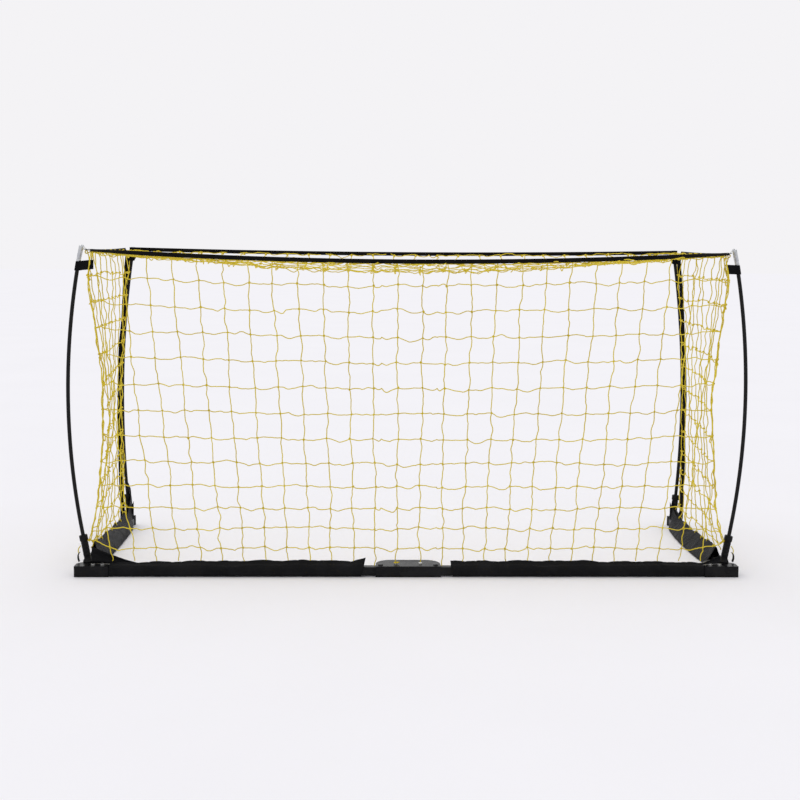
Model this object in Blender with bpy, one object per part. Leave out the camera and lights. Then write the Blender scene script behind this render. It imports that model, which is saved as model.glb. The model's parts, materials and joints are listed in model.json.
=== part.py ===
"""A folding soccer goal, in metres.

X runs along the rear ground bar, Y runs out of the mouth and Z is up. The origin is on the ground, under
the middle of the rear bar's centre hinge. Each side is made once and mirrored, and a part of the right
side keeps its places as they are.
"""

import math

import bmesh
import bpy
from mathutils import Matrix, Vector

# Clearances
GAP = 0.0003
PLAY = 0.0005

# Ground frame of square steel tube, held between the plates of three channel brackets
TUBE = 0.026
TUBE_WALL = 0.0015
TUBE_CORNER = 0.003
TAIL_STEPS = 10
PLATE = 0.003
BRACKET_HEIGHT = TUBE + 2 * (PLATE + PLAY)
TUBE_Z = BRACKET_HEIGHT / 2
WEB_OUTER_Y = -(TUBE / 2 + PLAY + PLATE)
WEB_INNER_Y = WEB_OUTER_Y + PLATE
BRACKET_FRONT_Y = 0.060
BRACKET_ROUND = 0.045
CORNER_ROUND = 0.008

# Centre hinge: two pivot rivets, and two bolts that tie the plates together
HINGE_HALF_WIDTH = 0.0975
PIVOT_X = 0.083
TIE_BOLT_X = 0.037
TIE_BOLT_Y = 0.010
RIVET_RADIUS = 0.004
RIVET_HOLE = 0.0043
RIVET_HEAD_RADIUS = 0.008
BOLT_RADIUS = 0.003
BOLT_HOLE = 0.0033
BOLT_HEAD_RADIUS = 0.006
BOLT_HEAD_HEIGHT = 0.004
SPACER_RADIUS = 0.006
PIN_DOME = 0.005

# Corner of the frame: the side bar's pivot also carries the rear post's socket
CORNER_X = 0.965
CORNER_Y = TUBE / 2 + 0.010 + TUBE / 2
REAR_TUBE_END_X = 0.9965
CORNER_BRACKET_X = 0.895
CORNER_BOLTS_X = (0.915, 0.943)
CORNER_WALL_X = CORNER_X + TUBE / 2 + PLAY

# Side bars
FRONT_POST_Y = 0.640
SIDE_TUBE_END_Y = FRONT_POST_Y + 0.018
END_CAP_LENGTH = 0.012
END_CAP_HALF_WIDTH = 0.015
PLUG_LENGTH = 0.007
PLUG_CLEARANCE = 0.0008

# Fabric sleeves round the bars, with a ridge on top that the net is laced to
SLEEVE_HALF_WIDTH = 0.017
SLEEVE_TOP_Z = 0.048
SLEEVE_BOTTOM_Z = 0.0012
SLEEVE_BORE = TUBE + 0.0012
SLEEVE_FOLD = 0.0022
SLEEVE_STATION = 0.045
REAR_SLEEVE_X = (0.147, 0.893)
SIDE_SLEEVE_Y = (0.112, 0.600)

# Fibreglass posts: a straight foot in the socket, then a bow. The front pair bow less and draw in at the top
POST_LEAN = {"rear": math.radians(10.6), "front": math.radians(5.0)}
POST_RADIUS = 0.00575
POST_FOOT_Z = 0.0425
POST_TOP_Z = 0.985
POST_TOP_X = {"rear": 0.9725, "front": 0.942}
SOCKET_BORE = 0.0065
SOCKET_RADIUS = 0.0105
SOCKET_COLLAR_RADIUS = 0.0125
SOCKET_FOOT_RADIUS = 0.016
SOCKET_TOP_Z = 0.115
SOCKET_COLLAR = 0.018
FERRULE_RADIUS = 0.0069
FERRULE_LENGTH = 0.048
ROUND_STEPS = 12
BOW_STEPS = 14

# Hook-and-loop wraps that tie the rear net's corners to the rear posts
WRAP_Z = 0.925
WRAP_HEIGHT = 0.025
WRAP_THICKNESS = 0.002
WRAP_TONGUE = 0.052
WRAP_TURN = math.radians(32)

# Webbing straps and nets: the lattices have every second cord of the real net
STRAP_HEIGHT = 0.012
WEBBING_THICKNESS = 0.003
CORD = 0.003
NET_PITCH = 0.150
REAR_STRAP_END_X = 0.945
REAR_STRAP_END_Z = 0.972
REAR_STRAP_SAG = 0.028
STRAP_STEPS_PER_METRE = 8
FRONT_STRAP_Z = 0.977
FRONT_STRAP_SAG = 0.011
ROOF_SAG = 0.040
ROOF_EDGE_X = 0.950
ROOF_Y = (0.014, 0.612)
REAR_NET_BOTTOM_Z = 0.0515
REAR_NET_EDGE_X = 0.913
REAR_NET_FLARE = 0.019
SPLIT = 0.0036
SIDE_NET_Y = (0.0675, 0.6125)
SIDE_NET_Z = (0.0535, 0.962)
SIDE_STRAP_Y = (0.057, 0.627)
SIDE_STRAP_Z = (0.966, 0.981)
MOUTH_WEBBING_Y = (0.616, 0.6275)

SIDES = {"left": -1, "right": 1}


def clear_scene():
    for thing in list(bpy.data.objects):
        bpy.data.objects.remove(thing, do_unlink=True)


def make_material(name, colour, roughness, metallic=0.0):
    material = bpy.data.materials.new(name)
    material.use_nodes = True
    shader = material.node_tree.nodes["Principled BSDF"]
    shader.inputs["Base Color"].default_value = (*colour, 1.0)
    shader.inputs["Roughness"].default_value = roughness
    shader.inputs["Metallic"].default_value = metallic
    material.diffuse_color = (*colour, 1.0)
    return material


def make_object(name, mesh_data, material, side=1, parent=None, place=None, turn=None):
    """Turns a bmesh into an object of its own, mirrored in X for the left side."""
    if side < 0:
        bmesh.ops.scale(mesh_data, vec=(-1, 1, 1), verts=mesh_data.verts)
    bmesh.ops.recalc_face_normals(mesh_data, faces=mesh_data.faces)
    if mesh_data.calc_volume(signed=True) < 0:
        bmesh.ops.reverse_faces(mesh_data, faces=mesh_data.faces)
    mesh = bpy.data.meshes.new(name)
    mesh_data.to_mesh(mesh)
    mesh_data.free()
    thing = bpy.data.objects.new(name, mesh)
    bpy.context.scene.collection.objects.link(thing)
    if material:
        mesh.materials.append(material)
    mesh.shade_smooth()
    mesh.set_sharp_from_angle(angle=math.radians(35))
    place = Vector(place or (0, 0, 0))
    place.x *= side
    thing.location = place
    thing.rotation_euler = (0, (turn or 0) * side, 0)
    if parent:
        thing.parent = parent
        thing.matrix_parent_inverse = Matrix.Translation(parent.location).inverted()
    return thing


def make_pivot(name, place):
    """An empty that stands on a joint's axis and carries the parts of one body."""
    pivot = bpy.data.objects.new(name, None)
    pivot.location = place
    pivot.empty_display_size = 0.03
    bpy.context.scene.collection.objects.link(pivot)
    return pivot


def sheet_mesh(points, faces, thickness):
    """Thickens a flat patch of faces, by half of the thickness vector to each side."""
    data = bmesh.new()
    half = Vector(thickness) / 2
    front = [data.verts.new(Vector(p) + half) for p in points]
    back = [data.verts.new(Vector(p) - half) for p in points]
    uses = {}
    for face in faces:
        data.faces.new([front[i] for i in face])
        data.faces.new([back[i] for i in reversed(face)])
        for a, b in zip(face, face[1:] + face[:1]):
            uses.setdefault(frozenset((a, b)), []).append((a, b))
    for used in uses.values():
        if len(used) == 1:
            a, b = used[0]
            data.faces.new([front[b], front[a], back[a], back[b]])
    return data


def prism_mesh(outline, low, high):
    """An upright prism on a plan outline."""
    middle = (low + high) / 2
    points = [(x, y, middle) for x, y in outline]
    return sheet_mesh(points, [list(range(len(points)))], (0, 0, high - low))


def box_mesh(low, high):
    outline = [(low[0], low[1]), (high[0], low[1]), (high[0], high[1]), (low[0], high[1])]
    return prism_mesh(outline, low[2], high[2])


def loft_mesh(rings, joined=False):
    """Skins rings of points. The ends are capped, or joined to each other to make a hollow wall."""
    data = bmesh.new()
    rows = [[data.verts.new(p) for p in ring] for ring in rings]
    pairs = list(zip(rows, rows[1:]))
    if joined:
        pairs.append((rows[-1], rows[0]))
    for low, high in pairs:
        for i in range(len(low)):
            j = (i + 1) % len(low)
            data.faces.new([low[i], low[j], high[j], high[i]])
    if not joined:
        data.faces.new(list(reversed(rows[0])))
        data.faces.new(rows[-1])
    return data


def ring(centre, radius, lean=0.0, steps=ROUND_STEPS):
    """A circle round an axis that leans from upright towards +X."""
    across = Vector((math.cos(lean), 0, -math.sin(lean)))
    points = []
    for i in range(steps):
        angle = 2 * math.pi * (i + 0.5) / steps
        spoke = math.cos(angle) * across + math.sin(angle) * Vector((0, 1, 0))
        points.append(Vector(centre) + radius * spoke)
    return points


def turned_mesh(profile, steps=ROUND_STEPS):
    """A solid of revolution round Z, from (radius, height) pairs that go up the outside."""
    return loft_mesh([ring((0, 0, z), r, steps=steps) for r, z in profile])


def make_cutter(name, mesh_data, side=1, place=None):
    cutter = make_object(name, mesh_data, None, side, place=place)
    cutter.hide_render = True
    cutter.hide_viewport = True
    cutter.display_type = "WIRE"
    return cutter


def combine(thing, other, operation="DIFFERENCE"):
    """A Boolean with another object. Its solver stays the exact one."""
    modifier = thing.modifiers.new(operation.title() + " " + other.name, "BOOLEAN")
    modifier.operation = operation
    modifier.object = other


def drill(thing, name, side, place, radius):
    """An upright hole right through a piece of the ground frame."""
    reach = BRACKET_HEIGHT
    cutter_mesh = turned_mesh([(radius, -reach), (radius, 2 * reach)])
    combine(thing, make_cutter(name, cutter_mesh, side, place))


def arc(centre, radius, start, end, steps):
    """Plan points round a corner, with the angles in degrees."""
    points = []
    for i in range(steps + 1):
        angle = math.radians(start + (end - start) * i / steps)
        points.append((centre[0] + radius * math.cos(angle), centre[1] + radius * math.sin(angle)))
    return points


def square_section(half, corner, steps=2):
    """Corner points of a rounded square in a plane, counted anticlockwise."""
    inner = half - corner
    section = []
    for quarter, (a, b) in enumerate(((1, 1), (-1, 1), (-1, -1), (1, -1))):
        section += arc((a * inner, b * inner), corner, 90 * quarter, 90 * quarter + 90, steps)
    return section


def square_tube_mesh(start, end, along):
    """Rounded square tube, open at both ends, along X or Y at the height of the frame."""
    outer = square_section(TUBE / 2, TUBE_CORNER)
    inner = square_section(TUBE / 2 - TUBE_WALL, TUBE_CORNER - TUBE_WALL)

    def at(section, distance):
        if along == "X":
            return [Vector((distance, a, TUBE_Z + b)) for a, b in section]
        return [Vector((a, distance, TUBE_Z + b)) for a, b in section]

    rings = [at(outer, start), at(outer, end), at(inner, end), at(inner, start)]
    return loft_mesh(rings, joined=True)


def make_rivet(name, material, side, parent, place, shank, bottom, top, head_radius, head_height):
    """A rivet or pin with a flush lower end and a domed top."""
    profile = [(shank, bottom), (shank, top), (head_radius, top), (head_radius, top + head_height * 0.35)]
    profile += [(head_radius * 0.8, top + head_height * 0.75), (head_radius * 0.4, top + head_height)]
    make_object(name, turned_mesh(profile), material, side, parent, place)


def make_hex_bolt(name, material, side, parent, place, top):
    """A bolt with a flush lower end and a hexagonal head that stands on a plate."""
    shank = turned_mesh([(BOLT_RADIUS, GAP), (BOLT_RADIUS, top + BOLT_HEAD_HEIGHT / 2)])
    bolt = make_object(name, shank, material, side, parent, place)
    head = turned_mesh([(BOLT_HEAD_RADIUS, top), (BOLT_HEAD_RADIUS, top + BOLT_HEAD_HEIGHT)], steps=6)
    combine(bolt, make_cutter(name + "_head", head, side, place), "UNION")


def make_hinge_bracket(paint):
    """The centre channel: its web is a stop behind the tubes, and its front is open for them to fold into."""
    half = HINGE_HALF_WIDTH
    outline = [(-half, WEB_OUTER_Y), (half, WEB_OUTER_Y)]
    outline += arc((half - BRACKET_ROUND, BRACKET_FRONT_Y - BRACKET_ROUND), BRACKET_ROUND, 0, 90, 6)
    outline += arc((BRACKET_ROUND - half, BRACKET_FRONT_Y - BRACKET_ROUND), BRACKET_ROUND, 90, 180, 6)
    bracket = make_object("hinge_bracket", prism_mesh(outline, 0, BRACKET_HEIGHT), paint)
    slot = box_mesh((-2 * half, WEB_INNER_Y, PLATE), (2 * half, 2 * BRACKET_FRONT_Y, BRACKET_HEIGHT - PLATE))
    combine(bracket, make_cutter("hinge_bracket_slot", slot))
    for side in SIDES.values():
        drill(bracket, "hinge_rivet_hole", side, (PIVOT_X, 0, 0), RIVET_HOLE)
        drill(bracket, "hinge_bolt_hole", side, (TIE_BOLT_X, TIE_BOLT_Y, 0), BOLT_HOLE)


def make_hinge_fasteners(steel, dark_steel, side_name, side):
    head_seat = BRACKET_HEIGHT + GAP
    make_rivet("pivot_rivet_" + side_name, dark_steel, side, None, (PIVOT_X, 0, 0),
               RIVET_RADIUS, GAP, head_seat, RIVET_HEAD_RADIUS, RIVET_RADIUS)
    tie_place = (TIE_BOLT_X, TIE_BOLT_Y, 0)
    make_hex_bolt("tie_bolt_" + side_name, steel, side, None, tie_place, head_seat)
    low = PLATE + GAP
    high = BRACKET_HEIGHT - PLATE - GAP
    outline = [(SPACER_RADIUS, low), (SPACER_RADIUS, high), (BOLT_HOLE, high), (BOLT_HOLE, low)]
    wall = [ring((0, 0, z), r) for r, z in outline]
    make_object("spacer_sleeve_" + side_name, loft_mesh(wall, joined=True), steel, side, place=tie_place)


def make_rear_tube(paint, side_name, side, body):
    """Half of the rear bar. Its inner end is rounded about the pivot, so that it turns inside the channel."""
    mesh = square_tube_mesh(PIVOT_X - TUBE, REAR_TUBE_END_X, "X")
    tube = make_object("rear_tube_" + side_name, mesh, paint, side, body)
    beyond = 2 * REAR_TUBE_END_X
    plan = [(PIVOT_X, TUBE)] + arc((PIVOT_X, 0), TUBE / 2, 90, 270, TAIL_STEPS)
    plan += [(PIVOT_X, -TUBE), (beyond, -TUBE), (beyond, TUBE)]
    combine(tube, make_cutter("rear_tube_round", prism_mesh(plan, -TUBE, 2 * TUBE), side), "INTERSECT")
    drill(tube, "rear_tube_pivot_hole", side, (PIVOT_X, 0, 0), RIVET_HOLE)
    for x in CORNER_BOLTS_X:
        drill(tube, "rear_tube_bolt_hole", side, (x, 0, 0), BOLT_HOLE)


def make_corner_bracket(paint, side_name, side, body):
    """The corner channel: a web behind the rear tube, and an end wall that stops the open side bar."""
    wall_outer = CORNER_WALL_X + PLATE
    shoulder = TUBE / 2 + PLATE
    outline = [(CORNER_BRACKET_X, WEB_OUTER_Y), (REAR_TUBE_END_X, WEB_OUTER_Y), (REAR_TUBE_END_X, shoulder)]
    outline += [(wall_outer, shoulder + REAR_TUBE_END_X - wall_outer)]
    outline += arc((wall_outer - CORNER_ROUND, BRACKET_FRONT_Y - CORNER_ROUND), CORNER_ROUND, 0, 90, 3)
    round_centre = (CORNER_BRACKET_X + BRACKET_ROUND, BRACKET_FRONT_Y - BRACKET_ROUND)
    outline += arc(round_centre, BRACKET_ROUND, 90, 180, 6)
    block = prism_mesh(outline, 0, BRACKET_HEIGHT)
    bracket = make_object("corner_bracket_" + side_name, block, paint, side, body)
    beyond = 2 * BRACKET_FRONT_Y
    room = [(CORNER_BRACKET_X - beyond, WEB_INNER_Y), (REAR_TUBE_END_X + beyond, WEB_INNER_Y)]
    room += [(REAR_TUBE_END_X + beyond, TUBE / 2 + PLAY), (CORNER_WALL_X, TUBE / 2 + PLAY)]
    room += [(CORNER_WALL_X, beyond), (CORNER_BRACKET_X - beyond, beyond)]
    slot = prism_mesh(room, PLATE, BRACKET_HEIGHT - PLATE)
    combine(bracket, make_cutter("corner_bracket_slot", slot, side))
    drill(bracket, "corner_pivot_hole", side, (CORNER_X, CORNER_Y, 0), RIVET_HOLE)
    for x in CORNER_BOLTS_X:
        drill(bracket, "corner_bolt_hole", side, (x, 0, 0), BOLT_HOLE)


def make_socket_pin(name, material, side, body, y, bottom):
    """An upright pin through a side bar. Its domed top stands in a post's socket, just under the post."""
    dome = PIN_DOME
    make_rivet(name, material, side, body, (CORNER_X, y, 0),
               RIVET_RADIUS, bottom, POST_FOOT_Z - PLATE / 3 - dome, RIVET_RADIUS, dome)


def make_corner_fasteners(steel, side_name, side, body):
    for place_name, x in zip(("inner", "outer"), CORNER_BOLTS_X):
        name = f"corner_bolt_{place_name}_{side_name}"
        make_hex_bolt(name, steel, side, body, (x, 0, 0), BRACKET_HEIGHT + GAP)
    make_socket_pin("side_pivot_pin_" + side_name, steel, side, body, CORNER_Y, GAP)


def make_side_tube(paint, side_name, side, body):
    """A side bar, rounded about its pivot and drilled for the front socket's bolt."""
    mesh = square_tube_mesh(CORNER_Y - TUBE, SIDE_TUBE_END_Y, "Y")
    bmesh.ops.translate(mesh, vec=(CORNER_X, 0, 0), verts=mesh.verts)
    tube = make_object("side_tube_" + side_name, mesh, paint, side, body)
    beyond = 2 * SIDE_TUBE_END_Y
    plan = [(CORNER_X - TUBE, CORNER_Y)] + arc((CORNER_X, CORNER_Y), TUBE / 2, 180, 360, TAIL_STEPS)
    plan += [(CORNER_X + TUBE, CORNER_Y), (CORNER_X + TUBE, beyond), (CORNER_X - TUBE, beyond)]
    combine(tube, make_cutter("side_tube_round", prism_mesh(plan, -TUBE, 2 * TUBE), side), "INTERSECT")
    for y in (CORNER_Y, FRONT_POST_Y):
        drill(tube, "side_tube_pin_hole", side, (CORNER_X, y, 0), RIVET_HOLE)


def make_end_cap(plastic, side_name, side, body):
    """A plastic foot on the front end of a side bar, with a plug inside the tube."""
    start = SIDE_TUBE_END_Y + GAP
    width = END_CAP_HALF_WIDTH
    block = box_mesh((CORNER_X - width, start, 0), (CORNER_X + width, start + END_CAP_LENGTH, BRACKET_HEIGHT))
    cap = make_object("side_end_cap_" + side_name, block, plastic, side, body)
    half = TUBE / 2 - TUBE_WALL - PLUG_CLEARANCE
    plug_low = (CORNER_X - half, start - PLUG_LENGTH, TUBE_Z - half)
    plug_high = (CORNER_X + half, start + END_CAP_LENGTH / 2, TUBE_Z + half)
    plug = box_mesh(plug_low, plug_high)
    combine(cap, make_cutter("side_end_cap_plug", plug, side), "UNION")


def sleeve_section(stretch):
    """Half-width and height round a sleeve: full at the tube, drawn in to the laced ridge on top."""
    wide = SLEEVE_HALF_WIDTH - SLEEVE_FOLD * (0.5 - 0.5 * math.cos(stretch))
    top = SLEEVE_TOP_Z - SLEEVE_FOLD * (0.5 - 0.5 * math.sin(1.7 * stretch))
    lean = SLEEVE_FOLD * math.sin(0.6 * stretch)
    waist = TUBE_Z + SLEEVE_BORE / 2
    shoulder = (waist + top) / 2 + PLATE
    right = [(0.6, SLEEVE_BOTTOM_Z), (0.97, 0.2 * TUBE_Z), (1, TUBE_Z), (0.97, waist)]
    right += [(0.45, shoulder), (0.2, top)]
    left = [(-a, z) for a, z in reversed(right)]
    outline = left[-1:] + right + left[:-1]
    return [(a * wide + (lean if z > waist else 0), z) for a, z in outline]


def sleeve_bore():
    """As many points as the outside has, on a square with room for the tube."""
    half = SLEEVE_BORE / 2
    right = [(0.5, -1), (1, -1), (1, 0), (1, 1), (0.5, 1), (0.2, 1)]
    left = [(-a, b) for a, b in reversed(right)]
    return [(a * half, TUBE_Z + b * half) for a, b in left[-1:] + right + left[:-1]]


def sleeve_mesh(start, end, along):
    count = round((end - start) / SLEEVE_STATION)
    stations = [start + (end - start) * i / count for i in range(count + 1)]

    def at(section, distance):
        if along == "X":
            return [Vector((distance, a, z)) for a, z in section]
        return [Vector((CORNER_X - a, distance, z)) for a, z in section]

    outer = [at(sleeve_section(2.1 * i), distance) for i, distance in enumerate(stations)]
    inner = [at(sleeve_bore(), end), at(sleeve_bore(), start)]
    return loft_mesh(outer + inner, joined=True)


def post_axis_x(row, height):
    """Where the straight foot of a rear or front post is at a height, from its centre on the bar."""
    return CORNER_X + math.tan(POST_LEAN[row]) * (height - BRACKET_HEIGHT)


def post_points(row):
    """The post's centre line and its lean at each point: a straight foot, then an arc to the tip."""
    foot_lean = POST_LEAN[row]
    foot = Vector((post_axis_x(row, POST_FOOT_Z), 0, POST_FOOT_Z))
    start = Vector((post_axis_x(row, SOCKET_TOP_Z), 0, SOCKET_TOP_Z))
    tip = Vector((POST_TOP_X[row], 0, POST_TOP_Z))
    chord = tip - start
    chord_lean = math.atan2(chord.x, chord.z)
    turn = 2 * (foot_lean - chord_lean)
    radius = chord.length / 2 / math.sin(turn / 2)
    centre = start - radius * Vector((math.cos(foot_lean), 0, -math.sin(foot_lean)))
    points = [(foot, foot_lean)]
    for i in range(BOW_STEPS + 1):
        lean = foot_lean - turn * i / BOW_STEPS
        points.append((centre + radius * Vector((math.cos(lean), 0, -math.sin(lean))), lean))
    return points


def make_socket(plastic, row, side_name, side, body, y):
    """A socket with a spread foot, a leaning bore and a collar at its mouth."""

    def at(height, radius, upright=False):
        centre = (CORNER_X if upright else post_axis_x(row, height), y, height)
        return ring(centre, radius, 0 if upright else POST_LEAN[row])

    base = BRACKET_HEIGHT + GAP
    if row == "front":
        base = TUBE_Z + TUBE / 2 + GAP
    collar = SOCKET_TOP_Z - SOCKET_COLLAR
    rings = [at(base, SOCKET_FOOT_RADIUS, True), at(base + 0.004, SOCKET_FOOT_RADIUS, True)]
    rings += [at(base + 0.014, SOCKET_RADIUS), at(collar, SOCKET_RADIUS)]
    rings += [at(collar + 0.002, SOCKET_COLLAR_RADIUS)]
    rings += [at(SOCKET_TOP_Z, SOCKET_COLLAR_RADIUS), at(SOCKET_TOP_Z, SOCKET_BORE)]
    rings += [at(POST_FOOT_Z - 0.002, SOCKET_BORE), at(base, SOCKET_BORE, True)]
    make_object(f"{row}_socket_{side_name}", loft_mesh(rings, joined=True), plastic, side, body)


def make_post(black, silver, row, side_name, side, body, y):
    """A fibreglass post with a metal ferrule over its top end."""
    points = post_points(row)
    top, lean = points[-1]
    up = Vector((math.sin(lean), 0, math.cos(lean)))
    shift = Vector((0, y, 0))
    ends = points[:-1] + [(top - up * 0.0015, lean)]
    rings = [ring(centre + shift, POST_RADIUS, slant) for centre, slant in ends]
    make_object(f"{row}_pole_{side_name}", loft_mesh(rings), black, side, body)

    def at(distance, radius):
        return ring(top + shift - up * distance, radius, lean)

    bore = POST_RADIUS + 2.5 * GAP
    shell = [at(0.001, bore), at(FERRULE_LENGTH, bore), at(FERRULE_LENGTH, FERRULE_RADIUS)]
    shell += [at(0.002, FERRULE_RADIUS), at(0, FERRULE_RADIUS * 0.7)]
    make_object(f"{row}_ferrule_{side_name}", loft_mesh(shell), silver, side, body)


def make_wrap(fabric, side_name, side, body):
    """The hook-and-loop strap round a rear post, with its tongue drawn towards the net's corner."""
    points = post_points("rear")
    near = min(points, key=lambda point: abs(point[0].z - WRAP_Z))
    centre = near[0] + Vector((math.sin(near[1]), 0, math.cos(near[1]))) * (WRAP_Z - near[0].z)
    bore = POST_RADIUS + 2 * GAP
    low = -WRAP_HEIGHT / 2
    high = WRAP_HEIGHT / 2
    outer = bore + WRAP_THICKNESS
    wall = [ring((0, 0, z), r) for r, z in ((outer, low), (outer, high), (bore, high), (bore, low))]
    place = (centre.x, CORNER_Y, WRAP_Z)
    band = loft_mesh(wall, joined=True)
    wrap = make_object("post_wrap_" + side_name, band, fabric, side, body, place, near[1])
    toward = Vector((-math.cos(WRAP_TURN), -math.sin(WRAP_TURN)))
    across = Vector((-toward.y, toward.x)) * (WRAP_THICKNESS / 2)
    start = toward * (bore + WRAP_THICKNESS / 2)
    end = toward * WRAP_TONGUE
    outline = [start - across, end - across, end + across, start + across]
    tongue = make_cutter("post_wrap_tongue", prism_mesh([tuple(p) for p in outline], low, high), side, place)
    tongue.rotation_euler = (0, near[1] * side, 0)
    combine(wrap, tongue, "UNION")


def lattice_mesh(columns, rows, place, across, along, thickness):
    """A net: square crossings joined by cords, one cell for each column and row, thickened to a solid."""
    half_across = Vector(across) * CORD / 2
    half_along = Vector(along) * CORD / 2
    points = []
    corner = {}
    for i in range(columns + 1):
        for j in range(rows + 1):
            centre = Vector(place(i / columns, j / rows))
            for a, b in ((-1, -1), (1, -1), (1, 1), (-1, 1)):
                corner[i, j, a, b] = len(points)
                points.append(centre + a * half_across + b * half_along)
    faces = []
    for i in range(columns + 1):
        for j in range(rows + 1):
            faces.append([corner[i, j, a, b] for a, b in ((-1, -1), (1, -1), (1, 1), (-1, 1))])
            if i < columns:
                next_low, next_high = corner[i + 1, j, -1, -1], corner[i + 1, j, -1, 1]
                faces.append([corner[i, j, 1, -1], next_low, next_high, corner[i, j, 1, 1]])
            if j < rows:
                next_right, next_left = corner[i, j + 1, 1, -1], corner[i, j + 1, -1, -1]
                faces.append([corner[i, j, -1, 1], corner[i, j, 1, 1], next_right, next_left])
    return sheet_mesh(points, faces, thickness)


def ribbon_mesh(points, height, thickness):
    """An upright band of webbing through points along its middle."""
    rise = Vector((0, 0, height / 2))
    edge = [Vector(p) - rise for p in points] + [Vector(p) + rise for p in points]
    count = len(points)
    faces = [[i, i + 1, count + i + 1, count + i] for i in range(count - 1)]
    return sheet_mesh(edge, faces, thickness)


def rear_strap_z(x):
    """The rear top strap hangs between the rear post tips."""
    return REAR_STRAP_END_Z - REAR_STRAP_SAG * (1 - (x / REAR_STRAP_END_X) ** 2)


def front_strap_z(x):
    return FRONT_STRAP_Z - FRONT_STRAP_SAG * (1 - (x / ROOF_EDGE_X) ** 2)


def rear_net_edge_x(height_share):
    """The net's side edge hangs in a shallow curve between its top and bottom corners."""
    return REAR_NET_EDGE_X + REAR_NET_FLARE * (2 * height_share - 1) ** 2


def rear_net_place(from_x, to_edge):
    def place(u, v):
        far = rear_net_edge_x(v) if to_edge else -from_x
        x = from_x + u * (far - from_x)
        top = rear_strap_z(x) - STRAP_HEIGHT / 2 - CORD / 2 - GAP
        return (x, 0, REAR_NET_BOTTOM_Z + v * (top - REAR_NET_BOTTOM_Z))

    return place


def roof_place(from_x, to_x):
    def place(u, v):
        x = from_x + u * (to_x - from_x)
        y = ROOF_Y[0] + v * (ROOF_Y[1] - ROOF_Y[0])
        level = (1 - v) * (rear_strap_z(x) - CORD) + v * (front_strap_z(x) - CORD)
        inside = 1 - (x / ROOF_EDGE_X) ** 2
        return (x, y, level - ROOF_SAG * inside * 4 * v * (1 - v) - CORD)

    return place


def side_net_place(u, v):
    y = SIDE_NET_Y[0] + u * (SIDE_NET_Y[1] - SIDE_NET_Y[0])
    return (CORNER_X, y, SIDE_NET_Z[0] + v * (SIDE_NET_Z[1] - SIDE_NET_Z[0]))


def cells(length):
    return round(length / NET_PITCH)


def strap_line(height_at, from_x, to_x, y):
    steps = max(2, round(STRAP_STEPS_PER_METRE * abs(to_x - from_x)))
    xs = [from_x + (to_x - from_x) * i / steps for i in range(steps + 1)]
    return [(x, y, height_at(x)) for x in xs]


def make_net_span(yarn, webbing, span_name, side, body, from_x, to_edge):
    """The rear net, its top strap, the roof net and the front strap over one span of the rear bar."""
    rear_end = REAR_STRAP_END_X if to_edge else -from_x
    roof_end = ROOF_EDGE_X if to_edge else -from_x
    columns = cells(abs(rear_end - from_x))
    rows = cells(rear_strap_z(0) - REAR_NET_BOTTOM_Z)
    across = (1, 0, 0)
    flat = (0, WEBBING_THICKNESS, 0)
    rear = lattice_mesh(columns, rows, rear_net_place(from_x, to_edge), across, (0, 0, 1), (0, CORD, 0))
    make_object("rear_net_" + span_name, rear, yarn, side, body)
    band = ribbon_mesh(strap_line(rear_strap_z, from_x, rear_end, 0), STRAP_HEIGHT, flat)
    make_object("rear_strap_" + span_name, band, webbing, side, body)
    depth_cells = cells(ROOF_Y[1] - ROOF_Y[0])
    roof = lattice_mesh(columns, depth_cells, roof_place(from_x, roof_end), across, (0, 1, 0), (0, 0, CORD))
    make_object("roof_net_" + span_name, roof, yarn, side, body)
    front_y = ROOF_Y[1] + CORD / 2 + WEBBING_THICKNESS / 2 + GAP
    band = ribbon_mesh(strap_line(front_strap_z, from_x, roof_end, front_y), STRAP_HEIGHT, flat)
    make_object("front_strap_" + span_name, band, webbing, side, body)


def make_side_panel(yarn, webbing, side_name, side, body):
    """The side net with its top strap and the webbing down the mouth's edge."""
    columns = cells(SIDE_NET_Y[1] - SIDE_NET_Y[0])
    rows = cells(SIDE_NET_Z[1] - SIDE_NET_Z[0])
    net = lattice_mesh(columns, rows, side_net_place, (0, 1, 0), (0, 0, 1), (CORD, 0, 0))
    make_object("side_net_" + side_name, net, yarn, side, body)
    low_z, high_z = SIDE_STRAP_Z
    half = WEBBING_THICKNESS / 2
    top = box_mesh((CORNER_X - half, SIDE_STRAP_Y[0], low_z), (CORNER_X + half, SIDE_STRAP_Y[1], high_z))
    make_object("side_strap_" + side_name, top, webbing, side, body)
    edge = box_mesh((CORNER_X - half, MOUTH_WEBBING_Y[0], SIDE_NET_Z[0]),
                    (CORNER_X + half, MOUTH_WEBBING_Y[1], low_z - 2 * GAP))
    make_object("mouth_webbing_" + side_name, edge, webbing, side, body)


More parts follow.
